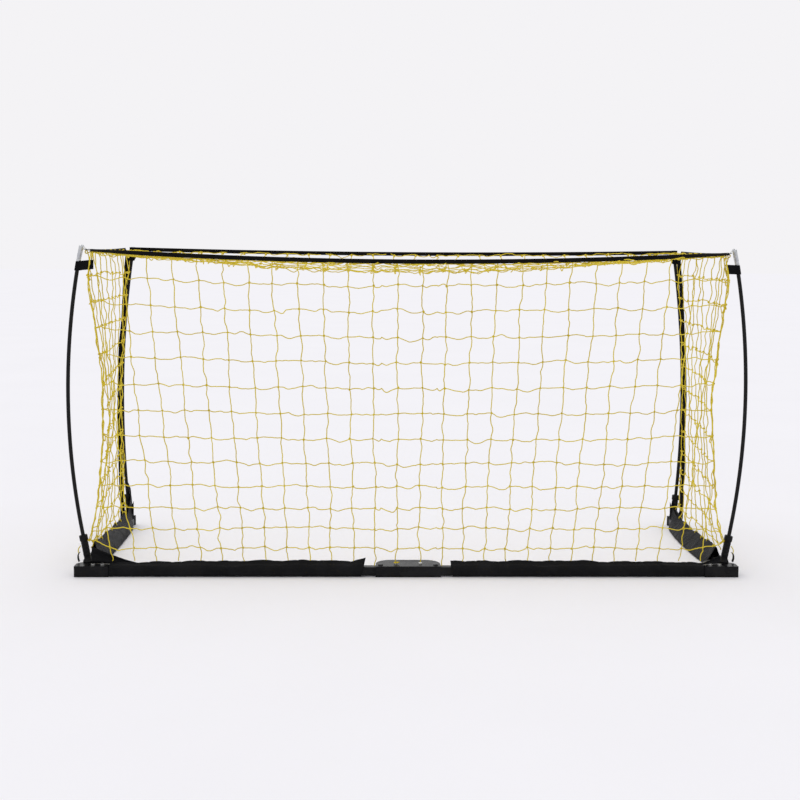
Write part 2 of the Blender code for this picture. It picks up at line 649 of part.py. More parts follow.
def main():
    clear_scene()
    black_paint = make_material("black_paint", (0.02, 0.02, 0.022), 0.45, 0.3)
    grey_paint = make_material("grey_paint", (0.33, 0.34, 0.36), 0.4, 0.6)
    steel = make_material("zinc_steel", (0.62, 0.62, 0.6), 0.3, 1.0)
    dark_steel = make_material("dark_steel", (0.06, 0.06, 0.065), 0.4, 0.9)
    silver = make_material("silver_ferrule", (0.72, 0.73, 0.75), 0.25, 1.0)
    black_glass = make_material("black_fibreglass", (0.012, 0.012, 0.013), 0.25)
    black_plastic = make_material("black_plastic", (0.02, 0.02, 0.02), 0.55)
    black_fabric = make_material("black_nylon", (0.028, 0.028, 0.032), 0.8)
    webbing = make_material("black_webbing", (0.03, 0.03, 0.035), 0.85)
    yarn = make_material("mustard_cord", (0.62, 0.38, 0.05), 0.8)

    make_hinge_bracket(grey_paint)
    make_net_span(yarn, webbing, "centre", 1, None, SPLIT - PIVOT_X, False)
    for side_name, side in SIDES.items():
        fold = make_pivot("rear_fold_axis_" + side_name, (side * PIVOT_X, 0, TUBE_Z))
        swing = make_pivot("side_fold_axis_" + side_name, (side * CORNER_X, CORNER_Y, TUBE_Z))
        lift_x = side * CORNER_X
        rear_lift = make_pivot("rear_lift_axis_" + side_name, (lift_x, CORNER_Y, BRACKET_HEIGHT))
        front_lift = make_pivot("front_lift_axis_" + side_name, (lift_x, FRONT_POST_Y, BRACKET_HEIGHT))
        make_hinge_fasteners(steel, dark_steel, side_name, side)
        make_rear_tube(black_paint, side_name, side, fold)
        rear_sleeve = sleeve_mesh(*REAR_SLEEVE_X, "X")
        make_object("rear_sleeve_" + side_name, rear_sleeve, black_fabric, side, fold)
        make_corner_bracket(grey_paint, side_name, side, fold)
        make_corner_fasteners(steel, side_name, side, fold)
        make_socket(black_plastic, "rear", side_name, side, fold, CORNER_Y)
        make_net_span(yarn, webbing, side_name, side, fold, PIVOT_X + SPLIT, True)
        make_post(black_glass, silver, "rear", side_name, side, rear_lift, CORNER_Y)
        make_wrap(black_fabric, side_name, side, rear_lift)
        make_side_tube(black_paint, side_name, side, swing)
        side_sleeve = sleeve_mesh(*SIDE_SLEEVE_Y, "Y")
        make_object("side_sleeve_" + side_name, side_sleeve, black_fabric, side, swing)
        make_end_cap(black_plastic, side_name, side, swing)
        make_socket(black_plastic, "front", side_name, side, swing, FRONT_POST_Y)
        make_socket_pin("front_socket_pin_" + side_name, steel, side, swing, FRONT_POST_Y, PLATE)
        make_side_panel(yarn, webbing, side_name, side, swing)
        make_post(black_glass, silver, "front", side_name, side, front_lift, FRONT_POST_Y)


main()
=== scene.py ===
"""The looks of the folding soccer goal: its nets, webbing, sleeves and finishes, and a studio round it.

It is all in metres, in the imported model's frame: X along the rear ground bar, Y out of the mouth, Z up.
Left is the side of negative X. Side pieces are worked out for the right side, and side mirrors their points.
"""

import json
import math

import bmesh
import bpy
from mathutils import Matrix, Vector, noise


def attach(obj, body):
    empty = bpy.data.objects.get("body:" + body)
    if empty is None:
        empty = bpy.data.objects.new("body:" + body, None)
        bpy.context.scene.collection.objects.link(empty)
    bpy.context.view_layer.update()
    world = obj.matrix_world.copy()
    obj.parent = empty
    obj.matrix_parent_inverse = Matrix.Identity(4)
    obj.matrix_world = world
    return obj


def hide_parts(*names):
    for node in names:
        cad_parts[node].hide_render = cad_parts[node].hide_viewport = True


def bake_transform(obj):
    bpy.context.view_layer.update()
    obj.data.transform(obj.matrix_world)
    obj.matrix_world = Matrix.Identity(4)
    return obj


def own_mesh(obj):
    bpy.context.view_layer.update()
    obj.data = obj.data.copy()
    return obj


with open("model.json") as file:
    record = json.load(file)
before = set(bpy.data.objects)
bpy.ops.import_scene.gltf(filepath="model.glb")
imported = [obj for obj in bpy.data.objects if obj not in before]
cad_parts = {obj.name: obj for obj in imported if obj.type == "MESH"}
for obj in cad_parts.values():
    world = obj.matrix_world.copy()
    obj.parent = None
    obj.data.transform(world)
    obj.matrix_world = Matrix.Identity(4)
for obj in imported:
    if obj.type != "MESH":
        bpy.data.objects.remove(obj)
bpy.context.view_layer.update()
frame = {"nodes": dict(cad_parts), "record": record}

# Without a seed the vector noise takes its offsets from the clock, and each run would draw other nets
NOISE_SEED = 1
noise.seed_set(NOISE_SEED)

# Sizes that the model also has
TUBE_Z = 0.0165
BRACKET_HEIGHT = 0.033
BRACKET_END_X = 0.0975
PIVOT_X = 0.083
TIE_BOLT = (0.037, 0.010)
CORNER_X = 0.965
CORNER_Y = 0.036
FRONT_POST_Y = 0.640
POST_LEAN = {"rear": math.radians(10.6), "front": math.radians(5.0)}
POST_RADIUS = 0.00575
POST_FOOT_Z = 0.0425
POST_TOP_X = {"rear": 0.9725, "front": 0.942}
POST_TOP_Z = 0.985
SOCKET_TOP_Z = 0.115
FERRULE_RADIUS = 0.0069
FERRULE_LENGTH = 0.048

# Straps: their ends and sag, where the webbing beside the front posts runs, and the ties round the rear posts
WEBBING_WIDTH = 0.0130
WEBBING_THICKNESS = 0.0018
REAR_STRAP_END_X = 0.945
REAR_STRAP_END_Z = 0.972
REAR_STRAP_SAG = 0.028
REAR_STRAP_CUT_X = {"left": 0.937, "right": 0.946}
FRONT_STRAP_Y = 0.6155
FRONT_STRAP_Z = 0.977
FRONT_STRAP_SAG = 0.011
SIDE_STRAP_Y = (0.057, 0.627)
SIDE_STRAP_Z = 0.9735
SIDE_STRAP_WIDTH = 0.0155
MOUTH_WEBBING_X = (0.986, 0.958)
MOUTH_WEBBING_BOW = 0.018
MOUTH_WEBBING_Y = 0.6217
MOUTH_WEBBING_Z = (0.0400, 0.962)
MOUTH_WEBBING_WIDTH = 0.0150
MOUTH_TAB = (0.948, 0.6255)
REAR_LACING_END_X = 0.80
WRAP_Z = 0.925
WRAP_TURN = math.radians(32)
WRAP_TONGUE = {"left": 0.062, "right": 0.048}

# Nets: square meshes of knotted cord, whose columns gather towards the foot and whose rows close up there
MESH_SIZE = 0.0740
CORD_RADIUS = 0.0015
JITTER = 0.0080
NET_COLUMNS = 14
NET_ROWS = 12
NET_TOP_Z = 0.955
NET_FOOT_Z = 0.0455
NET_GATHER = 0.0085
ROW_STEP = 0.0895
FIRST_ROW_LIFT = 0.14
CLOSING_ROW = 7
ROW_CLOSING = 0.00245
LOWEST_KNOT_Z = 0.0865
ROOF_COLUMNS = 13
ROOF_ROWS = 8
ROOF_EDGE_X = 0.950
ROOF_REAR_EDGE_X = 0.935
ROOF_Y = (0.014, 0.612)
ROOF_SAG = 0.040
SIDE_COLUMNS = 8
SIDE_NET_Y = (0.0675, 0.6125)
SIDE_NET_TOP_Z = 0.966

# The rear net's corner edge: its slack waist, its flares below and above, and the socket's collar it ends at
WAIST_X = 0.907
WAIST_SHARE = 0.55
LOW_FLARE = 0.165
HIGH_FLARE = 0.12
TIE_SHARE = 0.93
CROWDING = 0.014
EDGE_FOOT = (0.9635, 0.031, 0.101)

# Sleeves: the ends along their bars, how far the bare tube takes net ties, and the cloth's thickness
REAR_SLEEVE_START_X = {"left": 0.1416, "right": 0.1340}
REAR_SLEEVE_SLANT = {"left": -0.0121, "right": -0.0070}
REAR_SLEEVE_END_X = 0.893
SIDE_SLEEVE_Y = (0.112, 0.600)
BARE_TUBE_END_X = 0.135
SLEEVE_WALL = 0.0009
PANEL_THICKNESS = 0.001

# Studio: the sky's strength, the sun's, and the pale floor and backdrop
SKY = 0.77
SUN = 0.85
FLOOR_LOW = (0.885, 0.875, 0.895, 1)
FLOOR_HIGH = (0.915, 0.905, 0.925, 1)
BACKDROP = (0.905, 0.895, 0.915, 1)

SIDES = {"left": -1, "right": 1}
HIP = {"left": "rear_left", "right": "rear_right"}
PARTS = {"centre": "centre_hinge", **HIP}


def hip_body(part):
    """A rear part's body. For a side: both bodies across its hinge, and where a bend there would start and
    end.
    """
    if part == "centre":
        return PARTS[part]
    side = SIDES[part]
    return HIP[part], "centre_hinge", (side * 0.12, 0, 0), (side * PIVOT_X, 0, 0)


def corner_bend(side_name):
    """The same for the net round a rear corner."""
    side = SIDES[side_name]
    return HIP[side_name], f"side_{side_name}", (side * 0.93, 0.004, 0), (side * CORNER_X, 0.064, 0)


def clamp(value):
    return min(1.0, max(0.0, value))


def between(ends, share):
    return ends[0] + share * (ends[1] - ends[0])


# Node trees

def new_tree(name, kind, inputs, outputs):
    """A node group with sockets: (name, kind, default) for each input, (name, kind) for each output."""
    tree = bpy.data.node_groups.new(name, kind)
    for label, socket_kind, default in inputs:
        socket = tree.interface.new_socket(label, in_out="INPUT", socket_type="NodeSocket" + socket_kind)
        if default is not None:
            socket.default_value = default
    for label, socket_kind in outputs:
        tree.interface.new_socket(label, in_out="OUTPUT", socket_type="NodeSocket" + socket_kind)
    return tree, tree.nodes.new("NodeGroupInput").outputs, tree.nodes.new("NodeGroupOutput").inputs


def wire(tree, value, socket):
    """Links an output to a socket, or sets the socket to a plain value."""
    if isinstance(value, bpy.types.NodeSocket):
        tree.links.new(value, socket)
    else:
        socket.default_value = value


def add(tree, kind, inputs=None, **settings):
    """Adds a node with these settings, fills or links its inputs by name or number, and gives its outputs."""
    made = tree.nodes.new(kind)
    for name, value in settings.items():
        setattr(made, name, value)
    for key, value in (inputs or {}).items():
        wire(tree, value, made.inputs[key])
    return made.outputs


def calc(tree, operation, *values):
    return add(tree, "ShaderNodeMath", dict(enumerate(values)), operation=operation)[0]


def times(tree, first, second):
    return calc(tree, "MULTIPLY", first, second)


def plus(tree, first, second):
    return calc(tree, "ADD", first, second)


def vector_calc(tree, operation, first, second):
    return add(tree, "ShaderNodeVectorMath", {0: first, 1: second}, operation=operation)[0]


def mix_colour(tree, share, first, second):
    return add(tree, "ShaderNodeMix", {0: share, 6: first, 7: second}, data_type="RGBA")[2]


def spread(tree, value, low, high, new_low=0.0, new_high=1.0):
    """Maps a value from one range to another, and clamps it."""
    return add(tree, "ShaderNodeMapRange", {0: value, 1: low, 2: high, 3: new_low, 4: new_high})[0]


def clouds(tree, place, scale, detail=2.0, **more):
    """Noise in space, as one value."""
    return add(tree, "ShaderNodeTexNoise", {"Vector": place, "Scale": scale, "Detail": detail, **more})[0]


def ridges(tree, value):
    """Rounded ridges, one for each whole step of the value."""
    return calc(tree, "ABSOLUTE", calc(tree, "SINE", times(tree, value, math.pi)))


# Shader groups that the finishes share

def make_patches_group():
    """Soft uneven patches, for dust, handling and faded dye."""
    tree, given, result = new_tree(
        "patches", "ShaderNodeTree",
        [("Vector", "Vector", None), ("Scale", "Float", 10.0),
         ("Low", "Float", 0.4), ("High", "Float", 0.65)],
        [("Mask", "Float")])
    soft = clouds(tree, given["Vector"], given["Scale"], 6.0, Roughness=0.62)
    wire(tree, spread(tree, soft, given["Low"], given["High"]), result["Mask"])
    return tree


def make_scratches_group():
    """Fine scuffs along one direction: a noise drawn out by the stretch."""
    tree, given, result = new_tree(
        "scratches", "ShaderNodeTree",
        [("Vector", "Vector", None), ("Stretch", "Vector", (1.0, 1.0, 1.0)), ("Density", "Float", 0.5)],
        [("Mask", "Float"), ("Height", "Float")])
    drawn = vector_calc(tree, "MULTIPLY", given["Vector"], given["Stretch"])
    lines = clouds(tree, drawn, 1.0, 4.0, Roughness=0.7)
    low = calc(tree, "SUBTRACT", 0.78, times(tree, given["Density"], 0.3))
    mask = spread(tree, lines, low, plus(tree, low, 0.08))
    wire(tree, mask, result["Mask"])
    wire(tree, times(tree, mask, -1.0), result["Height"])
    return tree


def make_weave_group():
    """A plain weave on a map in metres: over and under threads, and a mask for the gaps between them."""
    tree, given, result = new_tree(
        "weave", "ShaderNodeTree",
        [("Map", "Vector", None), ("Threads Across", "Float", 1500.0), ("Threads Along", "Float", 1500.0)],
        [("Height", "Float"), ("Gaps", "Float")])
    split = add(tree, "ShaderNodeSeparateXYZ", {0: given["Map"]})
    along = times(tree, split[0], given["Threads Along"])
    across = times(tree, split[1], given["Threads Across"])
    counted = plus(tree, calc(tree, "FLOOR", along), calc(tree, "FLOOR", across))
    over = calc(tree, "FLOORED_MODULO", counted, 2.0)
    under = calc(tree, "SUBTRACT", 1.0, over)
    height = plus(tree, times(tree, ridges(tree, along), over), times(tree, ridges(tree, across), under))
    wire(tree, height, result["Height"])
    wire(tree, spread(tree, height, 0.35, 0.0), result["Gaps"])
    return tree


def make_twist_group():
    """Strands laid round a cord: the map's X runs along it in metres and its Y once round it."""
    tree, given, result = new_tree(
        "twist", "ShaderNodeTree",
        [("Map", "Vector", None), ("Turns", "Float", 160.0), ("Strands", "Float", 3.0)],
        [("Height", "Float"), ("Grooves", "Float")])
    split = add(tree, "ShaderNodeSeparateXYZ", {0: given["Map"]})
    turn = plus(tree, times(tree, split[0], given["Turns"]), times(tree, split[1], given["Strands"]))
    ridge = ridges(tree, turn)
    wire(tree, ridge, result["Height"])
    wire(tree, spread(tree, ridge, 0.5, 0.0), result["Grooves"])
    return tree


PATCHES = make_patches_group()
SCRATCHES = make_scratches_group()
WEAVE = make_weave_group()
TWIST = make_twist_group()


def use(tree, group, values):
    return add(tree, "ShaderNodeGroup", values, node_tree=group)


def patches(tree, maps, scale, low, high):
    return use(tree, PATCHES, {"Vector": maps["Object"], "Scale": scale, "Low": low, "High": high})["Mask"]


def scratches(tree, maps, stretch, density):
    return use(tree, SCRATCHES, {"Vector": maps["Object"], "Stretch": stretch, "Density": density})


def new_finish(name, roughness=0.5, metallic=0.0, gloss=0.5):
    """A material with its node tree and its maps, by object and by surface."""
    material = bpy.data.materials.new(name)
    material.use_nodes = True
    tree = material.node_tree
    shader = tree.nodes["Principled BSDF"].inputs
    shader["Roughness"].default_value = roughness
    shader["Metallic"].default_value = metallic
    shader["Specular IOR Level"].default_value = gloss
    return material, tree, add(tree, "ShaderNodeTexCoord")


def settle(material, colour, roughness, height, distance):
    """Links a finish's colour, roughness and bump to its shader."""
    tree = material.node_tree
    shader = tree.nodes["Principled BSDF"].inputs
    bump = add(tree, "ShaderNodeBump", {"Height": height, "Distance": distance, "Strength": 1.0})
    wire(tree, colour, shader["Base Color"])
    wire(tree, roughness, shader["Roughness"])
    wire(tree, bump[0], shader["Normal"])
    return material


# Finishes

def net_cord():
    """Twisted mustard cord, with painted shade that makes the grooves between its strands darker and browner.
    """
    material, tree, maps = new_finish("net_cord", 0.66, gloss=0.2)
    twist = use(tree, TWIST, {"Map": maps["UV"], "Turns": 150.0})
    faded = patches(tree, maps, 9.0, 0.38, 0.62)
    fuzz = clouds(tree, maps["Object"], 1400.0)
    strand = mix_colour(tree, faded, (0.72, 0.55, 0.030, 1), (0.86, 0.69, 0.055, 1))
    # Painted shade: the grooves between the strands are mixed towards a dark brown.
    colour = mix_colour(tree, times(tree, twist["Grooves"], 0.7), strand, (0.40, 0.27, 0.015, 1))
    height = plus(tree, twist["Height"], times(tree, fuzz, 0.35))
    return settle(material, colour, spread(tree, fuzz, 0.3, 0.7, 0.55, 0.8), height, 0.0004)


def pale_cord():
    """The thin white lacing at the rear posts' tips, with painted shade darkening the grooves between its
    strands.
    """
    material, tree, maps = new_finish("pale_cord", 0.6, gloss=0.2)
    twist = use(tree, TWIST, {"Map": maps["UV"], "Turns": 260.0})
    # Painted shade: the grooves between the strands are mixed towards grey.
    colour = mix_colour(tree, twist["Grooves"], (0.78, 0.78, 0.75, 1), (0.42, 0.42, 0.40, 1))
    rough = spread(tree, twist["Height"], 0.0, 1.0, 0.75, 0.5)
    return settle(material, colour, rough, twist["Height"], 0.0002)


def webbing_fabric():
    """Black polyester webbing: coarse ribs across, a little greyer where it is worn, and painted shade in the
    gaps between its threads.
    """
    material, tree, maps = new_finish("webbing_fabric", 0.8, gloss=0.06)
    weave = use(tree, WEAVE, {"Map": maps["UV"], "Threads Across": 900.0, "Threads Along": 620.0})
    worn = patches(tree, maps, 22.0, 0.45, 0.75)
    thread = mix_colour(tree, worn, (0.0060, 0.0054, 0.0050, 1), (0.0130, 0.0120, 0.0112, 1))
    # Painted shade: the gaps between the threads are darkened to near black.
    colour = mix_colour(tree, weave["Gaps"], thread, (0.0015, 0.0015, 0.0015, 1))
    rough = spread(tree, weave["Height"], 0.0, 1.0, 0.95, 0.65)
    return settle(material, colour, rough, weave["Height"], 0.00035)


def sleeve_nylon():
    """Thin black nylon with a fine weave, creases in its bump, patches of dust, and painted shade in the gaps
    between its threads.
    """
    material, tree, maps = new_finish("sleeve_nylon", 0.6, gloss=0.09)
    weave = use(tree, WEAVE, {"Map": maps["UV"], "Threads Across": 1700.0, "Threads Along": 1700.0})
    dust = patches(tree, maps, 14.0, 0.45, 0.72)
    creases = clouds(tree, maps["Object"], 34.0, 5.0, Roughness=0.55, Distortion=0.6)
    cloth = mix_colour(tree, dust, (0.0046, 0.0046, 0.0054, 1), (0.0115, 0.0115, 0.0130, 1))
    # Painted shade: the gaps between the threads are darkened.
    colour = mix_colour(tree, times(tree, weave["Gaps"], 0.6), cloth, (0.0020, 0.0020, 0.0025, 1))
    rough = plus(tree, plus(tree, 0.40, times(tree, dust, 0.2)), times(tree, weave["Gaps"], 0.2))
    height = plus(tree, creases, times(tree, weave["Height"], 0.09))
    return settle(material, colour, rough, height, 0.0022)


def hook_fabric():
    """Hook-and-loop strap: a dense field of small loops, with painted shade darkening the hollows between
    them.
    """
    material, tree, maps = new_finish("hook_fabric", 0.9, gloss=0.05)
    loops = add(tree, "ShaderNodeTexVoronoi", {"Vector": maps["Object"], "Scale": 950.0})["Distance"]
    # Painted shade: the colour is lighter at each loop's middle and darker in the hollows between the loops.
    colour = mix_colour(tree, loops, (0.0110, 0.0110, 0.0120, 1), (0.0030, 0.0030, 0.0035, 1))
    rough = spread(tree, loops, 0.0, 0.8, 0.75, 0.98)
    return settle(material, colour, rough, times(tree, loops, -1.0), 0.0006)


def bar_paint():
    """Satin black paint on steel: orange peel, fine scuffs, and dust where it is handled."""
    material, tree, maps = new_finish("bar_paint", 0.34, gloss=0.12)
    scuff = scratches(tree, maps, (60.0, 900.0, 900.0), 0.55)
    dust = patches(tree, maps, 16.0, 0.42, 0.7)
    paint = mix_colour(tree, dust, (0.0048, 0.0048, 0.0056, 1), (0.0120, 0.0120, 0.0130, 1))
    colour = mix_colour(tree, times(tree, scuff["Mask"], 0.5), paint, (0.060, 0.060, 0.064, 1))
    height = plus(tree, clouds(tree, maps["Object"], 420.0), times(tree, scuff["Height"], 0.6))
    return settle(material, colour, plus(tree, 0.24, times(tree, dust, 0.18)), height, 0.00012)


def plated_steel(name, colour_low, colour_high, roughness):
    """Bright or blackened plating with drawn tool marks and a few darker spots."""
    material, tree, maps = new_finish(name, roughness, 1.0)
    marks = scratches(tree, maps, (2200.0, 300.0, 300.0), 0.9)
    spots = patches(tree, maps, 160.0, 0.5, 0.72)
    rough = plus(tree, plus(tree, roughness, times(tree, spots, 0.2)), times(tree, marks["Mask"], 0.12))
    return settle(material, mix_colour(tree, spots, colour_high, colour_low), rough, marks["Height"], 0.00008)


def rod_finish():
    """Pultruded black fibreglass: a gloss skin over faint fibres that run up the rod."""
    material, tree, maps = new_finish("rod_finish", 0.3, gloss=0.14)
    fibres = scratches(tree, maps, (900.0, 900.0, 14.0), 1.0)
    scuff = patches(tree, maps, 30.0, 0.5, 0.8)
    skin = mix_colour(tree, times(tree, fibres["Mask"], 0.5),
                      (0.0048, 0.0048, 0.0054, 1), (0.016, 0.016, 0.0175, 1))
    return settle(material, skin, plus(tree, 0.24, times(tree, scuff, 0.3)), fibres["Height"], 0.00006)


def moulded_plastic():
    """Matt black moulded plastic with a fine spark-eroded grain."""
    material, tree, maps = new_finish("moulded_plastic", 0.5, gloss=0.12)
    grain = clouds(tree, maps["Object"], 900.0, 3.0, Roughness=0.7)
    rub = patches(tree, maps, 45.0, 0.5, 0.75)
    colour = mix_colour(tree, rub, (0.0052, 0.0052, 0.0058, 1), (0.0125, 0.0125, 0.0132, 1))
    return settle(material, colour, calc(tree, "SUBTRACT", 0.56, times(tree, rub, 0.16)), grain, 0.00016)


CORD = net_cord()
WHITE_CORD = pale_cord()
WEBBING = webbing_fabric()
NYLON = sleeve_nylon()
HOOK = hook_fabric()
PAINT = bar_paint()
ZINC = plated_steel("zinc_plate", (0.36, 0.36, 0.35, 1), (0.72, 0.72, 0.70, 1), 0.24)
BLACKENED = plated_steel("blackened_steel", (0.02, 0.02, 0.022, 1), (0.07, 0.07, 0.075, 1), 0.3)
FERRULE = plated_steel("ferrule_metal", (0.30, 0.31, 0.33, 1), (0.50, 0.51, 0.53, 1), 0.2)
ROD = rod_finish()
PLASTIC = moulded_plastic()


# Geometry trees

def capture(tree, geometry, name, value):
    """Keeps a value with a curve's points for later. It gives the curve and the value."""
    made = tree.nodes.new("GeometryNodeCaptureAttribute")
    made.capture_items.new("FLOAT", name)
    wire(tree, geometry, made.inputs["Geometry"])
    wire(tree, value, made.inputs[name])
    return made.outputs["Geometry"], made.outputs[name]


def tube_on(tree, curve, radius, sides):
    """Sweeps a round section along a curve and writes the wall's map: metres along it, and once round."""
    at = add(tree, "GeometryNodeSplineParameter")
    path, length = capture(tree, curve, "Length", at["Length"])
    ring = add(tree, "GeometryNodeCurveArc", {"Resolution": sides, "Radius": radius, "Sweep Angle": math.tau})
    section, turn = capture(tree, ring["Curve"], "Turn", at["Factor"])
    swept = add(tree, "GeometryNodeCurveToMesh", {"Curve": path, "Profile Curve": section, "Fill Caps": True})
    wall = add(tree, "ShaderNodeCombineXYZ", {0: length, 1: turn})
    stored = add(tree, "GeometryNodeStoreNamedAttribute",
                 {"Geometry": swept[0], "Name": "UVMap", "Value": wall[0]},
                 data_type="FLOAT2", domain="CORNER")
    return add(tree, "GeometryNodeMergeByDistance", {"Geometry": stored[0], "Distance": 0.00001})[0]


def end_tree(tree, geometry, material, result):
    """Shades a tree's result smooth, makes its instances real and gives it its finish."""
    real = add(tree, "GeometryNodeRealizeInstances", {"Geometry": geometry})
    smooth = add(tree, "GeometryNodeSetShadeSmooth", {"Geometry": real[0]})
    wire(tree, add(tree, "GeometryNodeSetMaterial", {"Geometry": smooth[0], "Material": material})[0], result)


def wander(tree, place, seed, size, reach):
    """An offset that drifts over space, as far as the reach."""
    waves = add(tree, "ShaderNodeTexNoise", {"Vector": place, "W": seed, "Scale": size, "Detail": 1.0},
                noise_dimensions="4D")
    centred = vector_calc(tree, "SUBTRACT", waves["Color"], (0.5, 0.5, 0.5))
    return add(tree, "ShaderNodeVectorMath", {0: centred, "Scale": reach}, operation="SCALE")[0]


def make_net_tree():
    """Knotted netting on a grid: each edge is a slack, kinked cord, and each marked point is a knot."""
    tree, given, result = new_tree(
        "knotted_net", "GeometryNodeTree",
        [("Grid", "Geometry", None), ("Cord Radius", "Float", 0.0013), ("Upright Slack", "Float", 0.02),
         ("Level Slack", "Float", 0.04), ("Kinks", "Float", 0.012), ("Sag", "Float", 0.003),
         ("Knot Size", "Float", 1.0), ("Seed", "Int", 1), ("Finish", "Material", None)],
        [("Net", "Geometry")])
    seed = given["Seed"]
    edges = add(tree, "GeometryNodeMeshToCurve", {"Mesh": given["Grid"]})
    steps = add(tree, "GeometryNodeResampleCurve", {"Curve": edges[0], "Count": 13})
    share = add(tree, "GeometryNodeSplineParameter")["Factor"]
    belly = calc(tree, "SINE", times(tree, share, math.pi))
    place = add(tree, "GeometryNodeInputPosition")[0]
    heading = add(tree, "ShaderNodeSeparateXYZ", {0: add(tree, "GeometryNodeInputTangent")[0]})
    level = calc(tree, "SUBTRACT", 1.0, calc(tree, "ABSOLUTE", heading[2]))
    slack = spread(tree, level, 0.0, 1.0, given["Upright Slack"], given["Level Slack"])
    broad = wander(tree, place, seed, 15.0, times(tree, belly, slack))
    kinked = times(tree, spread(tree, level, 0.0, 1.0, 0.6, 1.0), given["Kinks"])
    fine = wander(tree, place, seed, 46.0, times(tree, calc(tree, "SQRT", belly), kinked))
    drop = times(tree, times(tree, belly, level), given["Sag"])
    fall = add(tree, "ShaderNodeCombineXYZ", {2: times(tree, drop, -1.0)})
    offset = vector_calc(tree, "ADD", vector_calc(tree, "ADD", broad, fine), fall[0])
    hung = add(tree, "GeometryNodeSetPosition", {"Geometry": steps[0], "Offset": offset})
    cords = tube_on(tree, hung[0], given["Cord Radius"], 7)

    coil = add(tree, "GeometryNodeCurveSpiral",
               {"Resolution": 9, "Rotations": 1.7, "Start Radius": 0.0018, "End Radius": 0.0021,
                "Height": 0.0036})
    middle = add(tree, "GeometryNodeTransform", {"Geometry": coil[0], "Translation": (0, 0, -0.0018)})
    knot = tube_on(tree, middle[0], given["Cord Radius"], 6)
    marked = add(tree, "GeometryNodeInputNamedAttribute", {"Name": "knot"}, data_type="FLOAT")
    chosen = calc(tree, "GREATER_THAN", marked[0], 0.5)
    spots = add(tree, "GeometryNodeMeshToPoints", {"Mesh": given["Grid"], "Selection": chosen})
    turned = add(tree, "FunctionNodeRandomValue",
                 {0: (0.0, 0.0, 0.0), 1: (math.tau, math.tau, math.tau), "Seed": seed},
                 data_type="FLOAT_VECTOR")
    size = add(tree, "FunctionNodeRandomValue", {2: 0.85, 3: 1.2, "Seed": seed}, data_type="FLOAT")
    knots = add(tree, "GeometryNodeInstanceOnPoints",
                {"Points": spots[0], "Instance": knot, "Rotation": turned[0],
                 "Scale": times(tree, size[1], given["Knot Size"])})
    both = tree.nodes.new("GeometryNodeJoinGeometry")
    tree.links.new(cords, both.inputs[0])
    tree.links.new(knots[0], both.inputs[0])
    end_tree(tree, both.outputs[0], given["Finish"], result["Net"])
    return tree


def make_lace_tree():
    """Round cord along plain runs of points, smoothed between them."""
    tree, given, result = new_tree(
        "laced_cord", "GeometryNodeTree",
        [("Runs", "Geometry", None), ("Cord Radius", "Float", 0.0013), ("Finish", "Material", None)],
        [("Lacing", "Geometry")])
    runs = add(tree, "GeometryNodeMeshToCurve", {"Mesh": given["Runs"]})
    curved = add(tree, "GeometryNodeCurveSplineType", {"Curve": runs[0]}, spline_type="CATMULL_ROM")
    fine = add(tree, "GeometryNodeSetSplineResolution", {"Geometry": curved[0], "Resolution": 4})
    end_tree(tree, tube_on(tree, fine[0], given["Cord Radius"], 7), given["Finish"], result["Lacing"])
    return tree


def make_stitch_tree():
    """A row of short thread stitches along plain runs of points."""
    tree, given, result = new_tree(
        "stitch_row", "GeometryNodeTree",
        [("Runs", "Geometry", None), ("Spacing", "Float", 0.005), ("Length", "Float", 0.0034),
         ("Thread", "Float", 0.00035), ("Finish", "Material", None)],
        [("Stitches", "Geometry")])
    runs = add(tree, "GeometryNodeMeshToCurve", {"Mesh": given["Runs"]})
    spots = add(tree, "GeometryNodeCurveToPoints", {"Curve": runs[0], "Length": given["Spacing"]},
                mode="LENGTH")
    half = times(tree, given["Length"], 0.5)
    start = add(tree, "ShaderNodeCombineXYZ", {2: times(tree, half, -1.0)})
    end = add(tree, "ShaderNodeCombineXYZ", {2: half})
    line = add(tree, "GeometryNodeCurvePrimitiveLine", {"Start": start[0], "End": end[0]})
    rows = add(tree, "GeometryNodeInstanceOnPoints",
               {"Points": spots[0], "Instance": tube_on(tree, line[0], given["Thread"], 6),
                "Rotation": spots["Rotation"]})
    end_tree(tree, rows[0], given["Finish"], result["Stitches"])
    return tree


NET_TREE = make_net_tree()
LACE_TREE = make_lace_tree()
STITCH_TREE = make_stitch_tree()


# Pieces

def show(name, mesh):
    made = bpy.data.objects.new(name, mesh)
    bpy.context.collection.objects.link(made)
    return made


def dress(piece, body, node=None):
    """Lets a piece follow its body and hides the node it stands for. Given two bodies and a bend, it only
    fixes the piece where it is.
    """
    if isinstance(body, str):
        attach(piece, body)
    else:
        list(body)
        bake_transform(piece)
    if node:
        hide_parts(node)
    return piece


def apply_modifiers(piece):
    graph = bpy.context.evaluated_depsgraph_get()
    made = bpy.data.meshes.new_from_object(piece.evaluated_get(graph))
    piece.modifiers.clear()
    piece.data = made


def turn_outwards(mesh):
    """Reverses a closed mesh whose faces point inwards."""
    shape = bmesh.new()
    shape.from_mesh(mesh)
    if shape.calc_volume(signed=True) < 0:
        bmesh.ops.reverse_faces(shape, faces=shape.faces)
        shape.to_mesh(mesh)
    shape.free()


def grow(name, mesh, tree, values, body, node=None):
    """Runs a tree on a carrier mesh, keeps its result as the piece, and lets it ride on its body."""
    carrier = show(name, mesh)
    modifier = carrier.modifiers.new("made", "NODES")
    modifier.node_group = tree
    for item in tree.interface.items_tree:
        if item.item_type == "SOCKET" and item.in_out == "INPUT" and item.name in values:
            modifier[item.identifier] = values[item.name]
    carrier.update_tag()
    apply_modifiers(carrier)
    turn_outwards(carrier.data)
    return dress(carrier, body, node)


